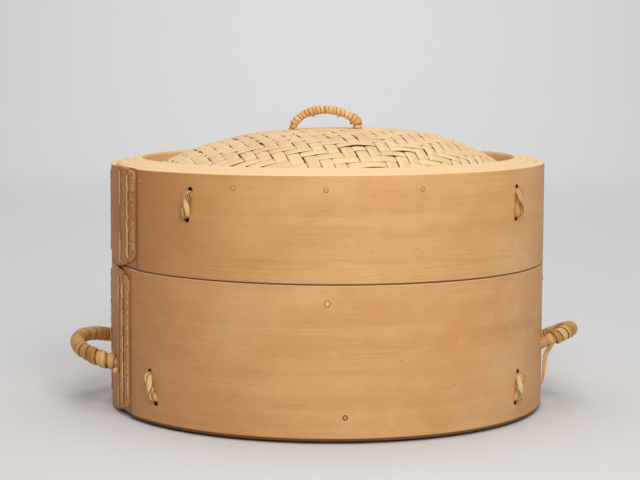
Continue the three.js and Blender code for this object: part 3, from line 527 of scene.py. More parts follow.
def compute(tree, operation, *values):
    return add_node(tree, "Math", dict(enumerate(values)), operation=operation)


def ramp(tree, value, start, full, least, most):
    """Runs from the least share where the value is at the start to the most where it is full."""
    limits = {"From Min": start, "From Max": full, "To Min": least, "To Max": most}
    return add_node(tree, "MapRange", {"Value": value, **limits})


def blend(tree, factor, colour, over):
    return add_node(tree, "Mix", {0: factor, 6: colour, 7: over}, data_type="RGBA")


def new_material(name, roughness, specular=0.5):
    """A material with a principled surface, and its tree and shader node."""
    material = bpy.data.materials.new(name)
    material.use_nodes = True
    tree = material.node_tree
    shader = tree.nodes["Principled BSDF"]
    set_inputs(tree, shader, {"Roughness": roughness, "IOR": 1.5, "Specular IOR Level": specular})
    return material, tree, shader


def finish(name, make, *colours, **options):
    """The material of that name, made once."""
    return bpy.data.materials.get(name) or make(name, *colours, **options)


def cane(name):
    return finish(name, cane_material, *CANES[name])


def stained(tree, vector, colour, stains):
    """Lays stains over a colour and returns the node that mixes the last of them.

    A stain is a tint, the noise's scales along and across in waves a metre, its detail, the noise
    values between which the tint grows from nothing, and its greatest share.
    """
    for row, (tint, along, across, detail, low, high, share) in enumerate(stains):
        noise = add_noise(tree, vector, along, across, detail, (3.7 * row, 1.3 * row, 0))
        colour = blend(tree, ramp(tree, noise, low, high, 0.0, share), colour, linear(tint))
    return colour


def fibred(tree, shader, vector, along, across, detail, strength, depth):
    """Raises fibres by bump, from noise with its scales in waves a metre, and returns the noise."""
    noise = add_noise(tree, vector, along, across, detail)
    bump = add_node(tree, "Bump", {"Height": noise, "Strength": strength, "Distance": depth})
    set_inputs(tree, shader, {"Normal": bump})
    return noise


def board_material(
    name, base, dark, pale, figure, rim=0.0, foot=2.0, patina=0.0, figure_share=0.1, lines=()
):
    """Unvarnished cypress, sawn thin and bent: faint growth rings, soft satin wear.

    The map's u is the distance along the board in metres and v the distance across it. Growth
    rings are level lines of the root of (v - figure)^2 + (5 mm)^2, less 0.03 u, 2.4 mm apart:
    straight grain away from the figure's height and nested arches beside it. Towards both sides of
    its lap the board browns, partly a patina of hands and partly painted shade where the wall turns
    from the light. The upper edge is freshly planed and pale up to the rim's distance from its
    middle, partly as painted highlight, and past the foot's distance the board is darkened as painted
    shade of the gap below it. Painted shadow of the outer end browns the last 7 mm before the lap.
    Lines are the places of stitch rows along the board; they and the slit beside the outer end are
    darkened 2 mm wide as painted shade.
    """
    material, tree, shader = new_material(name, 0.55, 0.25)
    uv, along, height = add_map(tree)
    stains = (
        (dark, 8, 480, 4.0, 0.42, 0.8, 0.2),
        (dark, 3, 80, 2.0, 0.45, 0.8, 0.3),
        (pale, 13, 17, 3.0, 0.45, 0.8, 0.5),
        ("C8803F", 9, 14, 3.0, 0.5, 0.85, 0.5),
        ("7A4A22", 110, 650, 1.0, 0.66, 0.85, 0.4),
        (pale, 60, 60, 3.0, 0.5, 0.8, 0.2),
    )
    colour = stained(tree, uv, linear(base), stains)
    wobble = fibred(tree, shader, uv, 11, 30, 3.0, 0.2, 0.1 * MM)
    above = compute(tree, "SUBTRACT", height, figure)
    square = compute(tree, "MULTIPLY", above, above)
    blunt = compute(tree, "ADD", square, FIGURE_TIP**2)
    root = compute(tree, "SQRT", blunt)
    count = compute(tree, "DIVIDE", root, GROWTH_RING)
    drifted = compute(tree, "MULTIPLY_ADD", along, FIGURE_DRIFT / GROWTH_RING, count)
    ring = compute(tree, "MULTIPLY_ADD", wobble, 3.2, drifted)
    line = compute(tree, "PINGPONG", ring, 0.5)
    # Distance along the board from the nearest stitch row or from the slit beside its outer end
    nearest = None
    for place in (RING_LENGTH - 0.7 * MM, *lines):
        away = compute(tree, "SUBTRACT", along, place)
        size = compute(tree, "ABSOLUTE", away)
        nearest = compute(tree, "MINIMUM", nearest or size, size)
    over = compute(tree, "SUBTRACT", height, 1.0)
    across = compute(tree, "ABSOLUTE", over)
    # Each mask: what it reads, where it starts and where it is full, and its shares there
    ranges = (
        ("vein", line, 0.25, 0.5, 0.0, figure_share),
        ("near_figure", count, 12.0, 4.0, 0.1, 1.0),
        # Patina, partly painted shade where the wall turns from the light, on both sides of the lap
        ("leaving_lap", along, 0.05, 0.33, patina, 0.0),
        ("nearing_lap", along, 0.93, 1.12, 0.0, patina),
        # Painted shadow of the outer end on the board just before the lap
        ("lap_end_shadow", along, RING_LENGTH - 7 * MM, RING_LENGTH - 0.7 * MM, 0.0, 0.7),
        ("before_lap", along, RING_LENGTH + 0.2 * MM, RING_LENGTH, 0.0, 1.0),
        # Painted shade along the stitch rows and in the slit beside the outer end
        ("row_and_slit_shade", nearest, 1.2 * MM, 0.5 * MM, 0.0, 0.85),
        # Painted shade of the gap below the foot: the floor under the basket, the basket under the lid
        ("below", over, -foot, -foot - 0.5 * MM, 0.0, 0.85),
        # Planed pale rim, partly painted highlight where the top edge catches the light
        ("edge", across, rim, rim - 0.5 * MM, 0.0, 0.95),
        ("past_lap", along, 45 * MM, 60 * MM, 0.0, 1.0),
    )
    masks = {}
    for mask, source, start, full, least, most in ranges:
        masks[mask] = ramp(tree, source, start, full, least, most)
    # Each layer over the stains: its tint, and the two masks that make it
    layers = (
        (dark, "vein", "near_figure", "MULTIPLY"),
        # Patina, partly painted shade on the side of the board that turns from the light
        ("AE642B", "leaving_lap", "nearing_lap", "MAXIMUM"),
        ("84431C", "lap_end_shadow", "before_lap", "MULTIPLY"),
        ("4F2F16", "row_and_slit_shade", "row_and_slit_shade", "MAXIMUM"),
        # Painted shade at the foot
        ("55300F", "below", "past_lap", "MULTIPLY"),
        # Planed rim, partly painted highlight
        ("F8D39E", "edge", "past_lap", "MULTIPLY"),
    )
    for tint, one, other, operation in layers:
        factor = compute(tree, operation, masks[one], masks[other])
        colour = blend(tree, factor, colour, linear(tint))
    set_inputs(tree, shader, {"Base Color": colour})
    return material


def cane_material(name, base, dark, pale, edge_shade_share):
    """Split cane: the glossy skin of rattan, with fibres along the strip, and edges darkened as
    painted shade of the gaps between turns and strands.

    The map's u is metres along the strip and v runs once round its section. The tone of each point
    shifts a stretch of strip towards its paler colour, as cane differs turn by turn. Fibres are
    drawn about 0.5 mm apart, coarser than real ones, so that they show.
    """
    material, tree, shader = new_material(name, 0.4, 0.3)
    uv, _, round_section = add_map(tree)
    tone = add_node(tree, "Attribute", attribute_name="tone").outputs["Fac"]
    toned = blend(tree, tone, linear(base), linear(pale))
    stains = (
        (dark, 60, 20, 4.0, 0.42, 0.78, 0.5),
        (dark, 85, 2, 2.0, 0.55, 0.85, 0.6),
        (pale, 40, 9, 3.0, 0.5, 0.8, 0.6),
    )
    colour = stained(tree, uv, toned, stains)
    # The outline runs from one edge over the top to the other edge and back underneath
    fold = compute(tree, "PINGPONG", round_section, 0.25)
    # Painted shade: the edges darken towards the dark colour, for the gaps between turns and strands
    edge_shaded = blend(tree, ramp(tree, fold, edge_shade_share, 0.0, 0.0, 0.8), colour, linear(dark))
    set_inputs(tree, shader, {"Base Color": edge_shaded})
    fibred(tree, shader, uv, 60, 22, 4.0, 0.3, 0.1 * MM)
    return material


def weave_material(name, base, dark, pale):
    """Flat bamboo strips split from the inner culm: pale, matt, with straight fibres.

    The map's u is metres along a strip and v its share across. Tone holds two things: its whole
    part numbers the strip, and its fraction says how deep the point lies, for the painted shade
    between and under the strips.
    """
    material, tree, shader = new_material(name, 0.5)
    uv, _, _ = add_map(tree)
    tone = add_node(tree, "Attribute", attribute_name="tone").outputs["Fac"]
    depth = compute(tree, "FRACT", tone)
    chance = add_node(tree, "TexWhiteNoise", {"W": compute(tree, "FLOOR", tone)}, noise_dimensions="1D")
    toned = blend(tree, chance, linear(base), linear(pale))
    chances = add_node(tree, "SeparateXYZ", {0: chance.outputs["Color"]})
    rosy = ramp(tree, chances.outputs["X"], 0.6, 1.0, 0.0, 0.5)
    blushed = blend(tree, rosy, toned, linear("DDA872"))
    stains = (
        ("C48A55", 12, 14, 5.0, 0.45, 0.8, 0.45),
        ("D3996C", 26, 1, 2.0, 0.5, 0.85, 0.6),
        (pale, 18, 3, 3.0, 0.5, 0.8, 0.5),
        ("8A5A2E", 45, 20, 2.0, 0.68, 0.85, 0.4),
    )
    colour = stained(tree, uv, blushed, stains)
    # Painted shade: deep points and the strips' edges darken towards the dark colour
    shaded = blend(tree, ramp(tree, depth, 0.4, 0.8, 0.0, 0.95), colour, linear(dark))
    set_inputs(tree, shader, {"Base Color": shaded})
    fibred(tree, shader, uv, 12, 16, 5.0, 0.35, 0.12 * MM)
    return material


def bamboo_material(name, base, dark):
    """Split bamboo left matt: straight fibres along the piece, read from its place in the object.

    Fibres are about 1 mm wide; the slats run front to back and the bars from side to side.
    """
    material, tree, shader = new_material(name, 0.55)
    place = add_node(tree, "TexCoord")
    stains = (
        (dark, 300, 9, 4.0, 0.4, 0.75, 0.7),
        ("8F6434", 500, 30, 2.0, 0.62, 0.85, 0.4),
    )
    colour = stained(tree, place.outputs["Object"], linear(base), stains)
    set_inputs(tree, shader, {"Base Color": colour})
    return material


def peg_material(name, base, dark, core):
    """The sawn end of a bamboo peg: pale end grain in a dark ring, where it fills its hole.

    The map's u is 0 at the middle of the head and 1 at its edge. The core's share of it is pale.
    """
    material, tree, shader = new_material(name, 0.6)
    _, share, _ = add_map(tree)
    colour = blend(tree, ramp(tree, share, core, core + 0.15, 0.0, 1.0), linear(base), linear(dark))
    set_inputs(tree, shader, {"Base Color": colour})
    return material


def paper_material(name, colours):
    """Matt background paper: a pale floor that keeps shadows, lit up evenly behind the object.

    For rays from the camera, glass and metal it also shines by itself: nothing under the middle,
    rising to the backdrop's colour 2.4 m behind it, and a little less to both sides.
    """
    material, tree, shader = new_material(name, 0.95, 0.1)
    place = add_node(tree, "TexCoord")
    parts = add_node(tree, "SeparateXYZ", {0: place.outputs["Object"]})
    x, y, z = parts.outputs
    rise = ramp(tree, compute(tree, "ADD", y, z), 0.0, 2.4, 0.0, colours.backdrop_glow)
    fall = ramp(tree, compute(tree, "MULTIPLY", x, x), 0.0, 0.6, 1.0, 0.75)
    strength = compute(tree, "MULTIPLY", rise, fall)
    path = add_node(tree, "LightPath")
    seen = path.outputs["Is Camera Ray"]
    for kind in ("Is Glossy Ray", "Is Transmission Ray"):
        seen = compute(tree, "MAXIMUM", seen, path.outputs[kind])
    strength = compute(tree, "MULTIPLY", strength, seen)
    set_inputs(tree, shader, {"Base Color": colours.floor_colour})
    set_inputs(tree, shader, {"Emission Strength": strength, "Emission Color": linear("F7F8FB")})
    return material


# ---- Bent boards and hoops ------------------------------------------------------------------


def planed_rim(grid, columns):
    """Lowers the upper edges of a grid on to the rim's planed top.

    The top leans: 5.4 mm in a metre up towards the right and 7.4 mm down towards the back. It is
    planed off outwards too: from 156 mm to 180 mm from the axis it falls by 3.7 mm, and by up to
    0.8 mm more on the left.
    """
    x, y = grid[:, columns, 0], grid[:, columns, 1]
    share = (np.hypot(x, y) - RIM_START) / RIM_WIDTH
    fall = (RIM_FALL[0] + RIM_FALL[1] * np.clip(-x / RING_RADIUS, 0, 1)) * MM * share
    grid[:, columns, 2] += RIM_LEAN[0] * x + RIM_LEAN[1] * y - fall


def bent_wood(azimuths, section, along, wrap_u):
    """Carries outlines of radius and height round the axis. At the lid's rim their tops are planed.

    An outline starts at its inner foot and rises at the outer face. The map's v is 1 m at the
    middle of the upper edge and falls down the outer face.
    """
    grid = outward(azimuths)[:, None] * section[..., :1]
    grid[..., 2] = section[..., 1]
    count = section.shape[1]
    if section[..., 1].max() > LID_TOP - 1 * MM:
        planed_rim(grid, slice(count // 2, count))
    loop = section[len(section) // 2]
    around = arc_lengths(np.concatenate([loop, loop[:1]]))
    edge = 3 * count // 4
    around += 1 - around[edge - 1 : edge + 1].mean()
    return grid_surface(grid, along, around, wrap_u)


def board_layer(angle, outer, thickness):
    """Inner and outer radius of a board at turn angles from its outer end, scarfed at both ends."""
    inner = outer - thickness
    start = outer - LAP_END_THICKNESS + LAP_PROUD
    tip = inner + LAP_TIP_THICKNESS
    over = np.clip(angle / LAP_SPAN, 0, 1)
    under = np.clip((angle - 360) / LAP_SPAN, 0, 1)
    low = np.where(angle < LAP_SPAN, start + (tip - start) * over + LAP_GAP / 2, inner)
    low = np.maximum(low, inner)
    high = np.where(angle < LAP_SPAN, outer + LAP_PROUD * (1 - over), outer)
    eased = np.clip((angle - 360 + LAP_RUN_OUT) / LAP_RUN_OUT, 0, 1)
    sunk = start + (tip - start) * under - LAP_GAP / 2
    high = high + (sunk - high) * np.where(angle > 360 - LAP_RUN_OUT, eased, 0)
    return low, high


def board_surface(body, bottom, top, outer, thickness, eases):
    """A board bent round until its ends overlap.

    Each section is a rectangle with eased corners. Both corners of the outer end are cut back: the
    edge is drawn in by height * (1 - angle / span) to a power, each corner with its own three, and
    by its tip * (1 - angle / 1.6 degrees) to the power 2.5.
    """
    steps = [np.linspace(0, 2, 11)[:-1], np.linspace(2, 14, 25)[:-1], np.linspace(14, LAP_SPAN, 25)]
    lap = np.concatenate(steps)
    middle = np.linspace(LAP_SPAN, 360 - LAP_RUN_OUT, 258)[1:-1]
    groove = 360 - LAP_RUN_OUT * np.array([1, 0.5])
    angle = np.concatenate([lap, middle, groove, lap + 360])
    low, high = board_layer(angle, outer, thickness)
    drawn = []
    for cut, span, power, tip in CORNERS[body]:
        rounding = tip * np.clip(1 - angle / TIP_SPAN, 0, 1) ** TIP_POWER
        drawn.append(cut * np.clip(1 - angle / span, 0, 1) ** power + rounding)
    foot, head = bottom + drawn[0], top - drawn[1]
    inner_foot, inner_head, outer_foot, outer_head = (
        np.minimum(ease * MM, EASE_LIMIT * (high - low)) for ease in INNER_EASES + eases
    )
    corners = (
        (low, foot, 1, 1, 180, inner_foot),
        (high, foot, -1, 1, 270, outer_foot),
        (high, head, -1, -1, 0, outer_head),
        (low, head, 1, -1, 90, inner_head),
    )
    section = round_corners(corners, 6)
    return bent_wood(LAPS[body] - angle, section, np.radians(angle) * outer, wrap_u=False)


def hoop_surface(outer, inner, bottom, top, ease, taper):
    """A hoop: a rectangle with eased corners, turned about the axis. Taper draws its top in.

    The map's u runs from 62 mm to 1.125 m, clear of the marks of a board's lap.
    """
    corners = (
        (inner, bottom, 1, 1, 180, ease),
        (outer, bottom, -1, 1, 270, ease),
        (outer - taper, top, -1, -1, 0, ease),
        (inner, top, 1, -1, 90, ease),
    )
    azimuths = -np.linspace(0, 360, 240, endpoint=False)
    along = np.linspace(0.062, 1.125, 241)
    return bent_wood(azimuths, round_corners(corners, 4)[None], along, wrap_u=True)


def hole_surface(azimuth, heights, radius, depths):
    """A round pin across the wall, for cutting, from its inner to its outer depth and height."""
    turn = full_turn(20)[:, None]
    ring = (sideways(azimuth) * np.cos(turn) + UP * np.sin(turn)) * radius
    grid = (outward(azimuth) * np.array(depths)[:, None])[:, None] + ring[None]
    grid[..., 2] += np.broadcast_to(heights, 2)[:, None]
    return grid_surface(grid, np.zeros(2))


def tie_holes(body, depths):
    """Cutters for the pair of holes of each tie, along its runs and a little past the cane."""
    ties, heights, reach = TIES[body]
    holes = []
    for upper, lower, high, low, _ in ties:
        runs = ((lower, low, heights[0], -TIE_PAST), (upper, high, heights[1], TIE_PAST))
        for azimuth, bend, inside, past in runs:
            ends = (inside + past / 2 * MM, (bend + past) * MM)
            line = np.interp(depths, (reach, RING_RADIUS + TIE_STAND), ends)
            holes.append(hole_surface(azimuth, line, TIE_HOLE, depths))
    return holes


# ---- Cane work ------------------------------------------------------------------------------


def tie_line(tie, reach, outer, heights):
    """A loop round the wall: four straight runs joined by quarter turns of 4 mm.

    The runs through the wall slope from the bends outside to the heights inside. The azimuth
    changes evenly with the height between the lower and the upper hole.
    """
    upper, lower, high, low, _ = tie
    low, high = low * MM, high * MM
    corners = (
        (outer, low, -1, 1, -90, TIE_CORNER),
        (outer, high, -1, -1, 0, TIE_CORNER),
        (reach, heights[1], 1, -1, 90, TIE_CORNER),
        (reach, heights[0], 1, 1, 180, TIE_CORNER),
    )
    loop = round_corners(corners, 12)
    loop = np.concatenate([loop, loop[:1]])
    table = arc_lengths(loop)
    at = np.linspace(0, table[-1], 181)[:-1]
    r, z = np.interp(at, table, loop[:, 0]), np.interp(at, table, loop[:, 1])
    points = outward(lower + (upper - lower) * (z - low) / (high - low)) * r[:, None]
    points[:, 2] = z
    return points


def twisted_tie(points, tie, phase, rng):
    """Two flat cane strands laid round each other along a closed line.

    Each strand's middle is offset from the line by (2.3 mm * cos turn) along the wall and (1.3 mm
    * sin turn) away from it, and the turn goes round once every 40 mm, a quarter turn on from the
    phase at half height outside. Its section is an ellipse whose flat side faces away from the
    line. Inside the wall the strands draw together.
    """
    upper, lower, high, low, hand = tie
    tangent, side, up = line_frames(points, sideways((upper + lower) / 2), closed=True)
    length = arc_lengths(np.concatenate([points, points[:1]]))
    turns = max(1, round(length[-1] / TIE_TWIST))
    # Half height outside lies a corner's arc and the rest of half the straight run from the start
    middle = TIE_CORNER * (np.pi / 2 - 1) + (high - low) / 2 * MM
    inside = np.hypot(points[:, 0], points[:, 1])
    in_wall = np.clip((TIE_WALL - inside) / TIE_EASING, 0, 1)[:, None]
    spread, stand, wide, thick = ((size - loss * in_wall) * MM for size, loss in STRAND_SIZES)
    ring = full_turn(14)[None, :, None]
    surfaces = []
    for strand in range(2):
        along = (length[:-1, None] - middle) * 2 * np.pi * turns / length[-1]
        turn = phase + (strand + 0.5) * np.pi + hand * along
        turn = turn + 0.2 * np.sin(length[:-1, None] / (9 * MM) + 5 * strand)
        offset = side * np.cos(turn) * spread + up * np.sin(turn) * stand
        away = offset / np.linalg.norm(offset, axis=1, keepdims=True)
        round_about = np.cross(tangent, away)
        uneven = 1 + 0.08 * np.sin(length[:-1, None, None] / (5 * MM) + 9 * strand)
        grid = (points + offset)[:, None] + round_about[:, None] * np.cos(ring) * wide[:, None] * uneven
        grid = grid + away[:, None] * np.sin(ring) * thick[:, None]
        surfaces.append(grid_surface(grid, length, wrap_u=True, tone=rng.uniform(0.0, 0.8)))
    return surfaces


def ridge_stitches(azimuth, face, low, high, pitch, width, hook, stand, rng):
    """A row of overlapping cane stitches down a lap.

    A stitch comes out beside the row at the hook's distance, swings on to the row in its first
    fifth and runs straight down to where it dives under the next. Along its length t from 0 to 1
    its height falls evenly, its place across is the hook times (1 - 5t)^2 at first and then zero,
    and it stands off the face by the stand times the sine of pi t to the power 0.4.
    """
    t = np.linspace(0, 1, 18)
    count = max(1, round((high - low) / pitch))
    pitch = (high - low) / count
    across, up = rounded_section(8, 2.4)
    surfaces = []
    for k in range(count):
        start = high - k * pitch + rng.uniform(-0.6, 0.6) * MM
        aside = hook * rng.uniform(0.7, 1.2) * np.clip(1 - 5 * t, 0, 1) ** 2
        aside = aside + rng.uniform(-0.15, 0.15) * MM
        swell = np.sin(np.pi * np.clip(t, 0.02, 0.98)) ** 0.4
        middle = outward(azimuth + np.degrees(aside / face)) * (face - 0.1 * MM + stand * swell)[:, None]
        middle[:, 2] = start - pitch * STITCH_OVERLAP * t
        wide = width * (0.35 + 0.65 * swell) * rng.uniform(0.85, 1.15)
        grid = middle[:, None] + sideways(azimuth) * across[None, :, None] * wide[:, None, None]
        grid = grid + outward(azimuth) * (up[None, :, None] * STITCH_THICKNESS)
        surfaces.append(grid_surface(grid, start - middle[:, 2], tone=rng.uniform(0, 1)))
    return surfaces


def edge_ticks(azimuth, face, low, high, pitch, length, rng):
    """Short cane ends laid across the end of a board, one above the other.

    Along a tick t from 0 to 1 the place across runs over its length to 1.1 mm past the board's end,
    and it stands off the face by 0.35 mm times the sine of 0.8 pi t to the power 0.5.
    """
    t = np.linspace(0, 1, 9)
    across, up = rounded_section(6, 2.2)
    surfaces = []
    for z in np.arange(low, high, pitch):
        reach = length * rng.uniform(0.75, 1.2)
        aside = -reach + (reach + TICK_PAST) * t
        rise = TICK_STAND * np.sin(0.8 * np.pi * np.clip(t, 0.03, 1)) ** 0.5
        middle = outward(azimuth + np.degrees(aside / face)) * (face + rise)[:, None]
        middle[:, 2] = z + pitch * (rng.uniform(-0.3, 0.3) + rng.uniform(0, 0.5) * (t - 0.5))
        tall = pitch * rng.uniform(0.5, 1.0)
        grid = middle[:, None] + UP * across[None, :, None] * tall
        grid = grid + outward(azimuth) * (up[None, :, None] * TICK_THICKNESS)
        surfaces.append(grid_surface(grid, aside, tone=rng.uniform(0, 1)))
    return surfaces


def side_handle_line(azimuth, half, foot, twist, reach, rise, outer):
    """The arch of a side handle over a chord of the wall, with straight feet through the wall.

    Across is the signed cosine of the turn to the power 2/2.3 and forward its sine to the same
    power, times the half width and the reach. The height rises with the way forward, and one foot
    stands higher than the other by twice the twist.
    """
    turn = np.linspace(0, np.pi, 241)
    across = np.sign(np.cos(turn)) * np.abs(np.cos(turn)) ** (2 / 2.3)
    forward = np.abs(np.sin(turn)) ** (2 / 2.3)
    inside = np.linspace(HANDLE_FOOT, 0, 12)[:-1] / np.hypot(reach, rise)
    across = np.concatenate([np.ones(11), across, -np.ones(11)])
    forward = np.concatenate([-inside, forward, -inside[::-1]])
    side = sideways(azimuth)
    side = -side if side[1] > 0 else side
    chord = np.sqrt(outer**2 - half**2)
    points = outward(azimuth) * (chord + reach * forward)[:, None] + side * (half * across)[:, None]
    points[:, 2] = BASKET_BOTTOM + foot + rise * forward + twist * across
    return resample(points, 400)


def centripetal(points, per_span):
    """A centripetal Catmull-Rom curve through points: the knots are spaced by the root of the chord.

    Each span blends the two quadratics through its neighbours.
    """
    first = 2 * points[0] - points[1]
    last = 2 * points[-1] - points[-2]
    p = np.concatenate([[first], points, [last]])
    knots = np.concatenate([[0], np.cumsum(np.linalg.norm(np.diff(p, axis=0), axis=1) ** 0.5)])
    spans = []
    for i in range(1, len(p) - 2):
        t0, t1, t2, t3 = knots[i - 1 : i + 3]
        t = np.linspace(t1, t2, per_span, endpoint=i == len(p) - 3)[:, None]
        a1 = ((t1 - t) * p[i - 1] + (t - t0) * p[i]) / (t1 - t0)
        a2 = ((t2 - t) * p[i] + (t - t1) * p[i + 1]) / (t2 - t1)
        a3 = ((t3 - t) * p[i + 1] + (t - t2) * p[i + 2]) / (t3 - t2)
        b1 = ((t2 - t) * a1 + (t - t0) * a2) / (t2 - t0)
        b2 = ((t3 - t) * a2 + (t - t1) * a3) / (t3 - t1)
        spans.append(((t2 - t) * b1 + (t - t1) * b2) / (t2 - t1))
    return np.concatenate(spans)


# ---- Woven dome -----------------------------------------------------------------------------


def dome_point(share, turn):
    """Points of the dome's mean surface from the share of its radius and the turn in plan.

    Height is the rise times one less the share to the power 2.9, with the crown moved to one side
    and a little tilt. Past the edge, where the share is over 1, the mat is flat.
    """
    inside = np.minimum(share, 1)
    radius = share * DOME_RADIUS
    x = radius * np.cos(turn) + CROWN_SHIFT * (1 - inside**2)
    y = radius * np.sin(turn)
    tilt = CROWN_TILT * (x / DOME_RADIUS) * (1 - inside**6)
    z = MAT_MIDDLE + DOME_RISE * (1 - inside**DOME_POWER) + tilt
    return np.stack([x, y, z], -1)


def over_under(i, j):
    """1 where the strip that runs front to back lies on top, in a two-by-two twill.

    The diagonals turn back at both middle strips, so the floats make squares inside squares. One
    crossing near the front was missed in the weaving and lies under.
    """
    top = (np.abs(i) + np.abs(j) + 1) % 4 < 2
    missed = (np.asarray(i) == 1) & (np.asarray(j) == -14)
    return np.where(missed, 0.0, top)


def strip_level(run, strip, cell):
    """1 where a strip lies on top and 0 where it lies under, easing over part of a crossing."""
    j = np.floor(cell)
    part = cell - j
    before, here, after = (
        over_under(strip, j + n) if run == 0 else 1 - over_under(j + n, strip) for n in (-1, 0, 1)
    )
    down, back = (np.clip((part - gone) / STRIP_EASING + 0.5, 0, 1) for gone in (0, 1))
    down, back = (share * share * (3 - 2 * share) for share in (down, back))
    return np.where(part < 0.5, before + (here - before) * down, here + (after - here) * back)


def dome_normal(share, turn):
    """Unit vectors square to the dome, from steps along its radius and round it."""
    step = 0.004
    along_s = dome_point(share + step, turn) - dome_point(np.maximum(share - step, 0), turn)
    along_t = dome_point(share, turn + 0.01) - dome_point(share, turn - 0.01)
    normal = np.cross(along_s, along_t)
    size = np.linalg.norm(normal, axis=-1, keepdims=True)
    return np.where(size > 1e-12, normal / np.maximum(size, 1e-12), UP)


def woven_strips(pitches, turned, rng):
    """Both sets of bamboo strips of the mat.

    A strip lies at a fixed distance across the weave. Along it the height over the mean surface
    swings between plus and minus the lift. The flat weave bows sideways by 4 mm times the square of
    its distance along in units of 120 mm, less 0.45. It is laid on the dome by keeping distances
    from the crown: its distance is looked up as an arc length of the dome's profile. A slit draws
    an edge back by its depth times exp(-d^2).
    """
    share = np.linspace(0, MAT_RADIUS / DOME_RADIUS, 400)
    profile = np.stack([share * DOME_RADIUS, DOME_RISE * (1 - np.minimum(share, 1) ** DOME_POWER)], -1)
    arc = arc_lengths(profile)
    reach = arc[-1] + 0.4 * MM
    across, up = rounded_section(8, 3.2)
    up = np.where(up > 0, up + 0.25 * (1 - (2 * across) ** 2), up)
    cos, sin = np.cos(turned), np.sin(turned)

    def spread(run, across_weave, along_weave):
        flat_x, flat_y = (across_weave, along_weave) if run == 0 else (along_weave, across_weave)
        bowed = flat_x + STRIP_BOW * ((flat_y / STRIP_BOW_SPAN) ** 2 - 0.45)
        x = bowed * cos - flat_y * sin + WEAVE_CENTRE[0]
        y = bowed * sin + flat_y * cos + WEAVE_CENTRE[1]
        return np.hypot(x, y), np.arctan2(y, x)

    surfaces = []
    fine = np.arange(-reach - 12 * MM, reach + 12 * MM, 0.5 * MM)
    for run in range(2):
        pitch, other = pitches[run], pitches[1 - run]
        count = int(fine[-1] / pitch) + 1
        for k in range(-count, count + 1):
            middle = k * pitch
            inside = fine[spread(run, middle, fine)[0] < reach]
            if len(inside) < 24:
                continue
            v = np.linspace(inside[0], inside[-1], int((inside[-1] - inside[0]) / (1.9 * MM)) + 2)
            height = (2 * strip_level(run, k, v / other + 0.5) - 1) * STRIP_LIFT
            wave = rng.uniform(0, 2 * np.pi, 3)
            wander = 0.4 * MM * np.sin(v / (41 * MM) + wave[0]) + 0.2 * MM * np.sin(v / (13 * MM) + wave[1])
            width = pitch * rng.uniform(0.865, 0.955) * (1 + 0.02 * np.sin(v / (27 * MM) + wave[2]))
            a = middle + wander[:, None] + across[None, :] * width[:, None]
            for way, strip, side, at, half, depth in SLITS:
                if (way, strip) == (run, k):
                    drawn = depth * MM * np.exp(-(((v - at * MM) / (half * MM)) ** 2))
                    a = a - side * drawn[:, None] * (0.5 + side * across[None, :])
            distance, turn = spread(run, a, np.broadcast_to(v[:, None], a.shape))
            s = np.interp(distance, arc, share)
            raised = height[:, None] + up[None, :] * STRIP_THICKNESS
            grid = dome_point(s, turn) + dome_normal(s, turn) * raised[..., None]
            # Painted shade: the lower a strip lies and the nearer its edge, the darker its tone
            deep = 0.5 - 0.49 * height / STRIP_LIFT
            edge = np.abs(2 * across)[None, :] ** 6
            tone = np.clip(deep[:, None] + 0.25 * edge, 0, 0.98) + (k + count + 1) + 100 * run
            surfaces.append(grid_surface(grid, v, tone=tone))
    return surfaces


# ---- Add-on ---------------------------------------------------------------------------------


class SteamerSizes(bpy.types.PropertyGroup):
    """Sizes that set the dressed pieces."""

    ring_radius: bpy.props.FloatProperty(
        name="Ring Radius",
        description="Outer radius of both bent boards",
        default=RING_RADIUS,
        unit="LENGTH",
    )
    board_thickness: bpy.props.FloatProperty(
        name="Board Thickness", description="Thickness of the bent boards", default=0.0067, unit="LENGTH"
    )
    hoop_ease: bpy.props.FloatProperty(
        name="Hoop Ease", description="Rounding of the hoops' edges", default=0.0003, unit="LENGTH"
    )
    strip_pitch: bpy.props.FloatProperty(
        name="Strip Pitch", description="Width of a strip from front to back", default=0.0103, unit="LENGTH"
    )
    cross_pitch: bpy.props.FloatProperty(
        name="Cross Pitch", description="Width of a strip across the dome", default=0.0101, unit="LENGTH"
    )
    weave_turn: bpy.props.FloatProperty(
        name="Weave Turn", description="Turn of the weave in plan", default=0.248, subtype="ANGLE"
    )
    cane_thickness: bpy.props.FloatProperty(
        name="Cane Thickness", description="Thickness of the winding cane", default=0.0012, unit="LENGTH"
    )


class SteamerFinishes(bpy.types.PropertyGroup):
    """Colours of the floor and the backdrop."""

    floor_colour: bpy.props.FloatVectorProperty(
        name="Floor", description="Pale studio floor", default=linear("DBDADA"), size=4, subtype="COLOR"
    )
    backdrop_glow: bpy.props.FloatProperty(
        name="Backdrop Glow", description="How far the paper is lit up", default=0.37, subtype="FACTOR"
    )


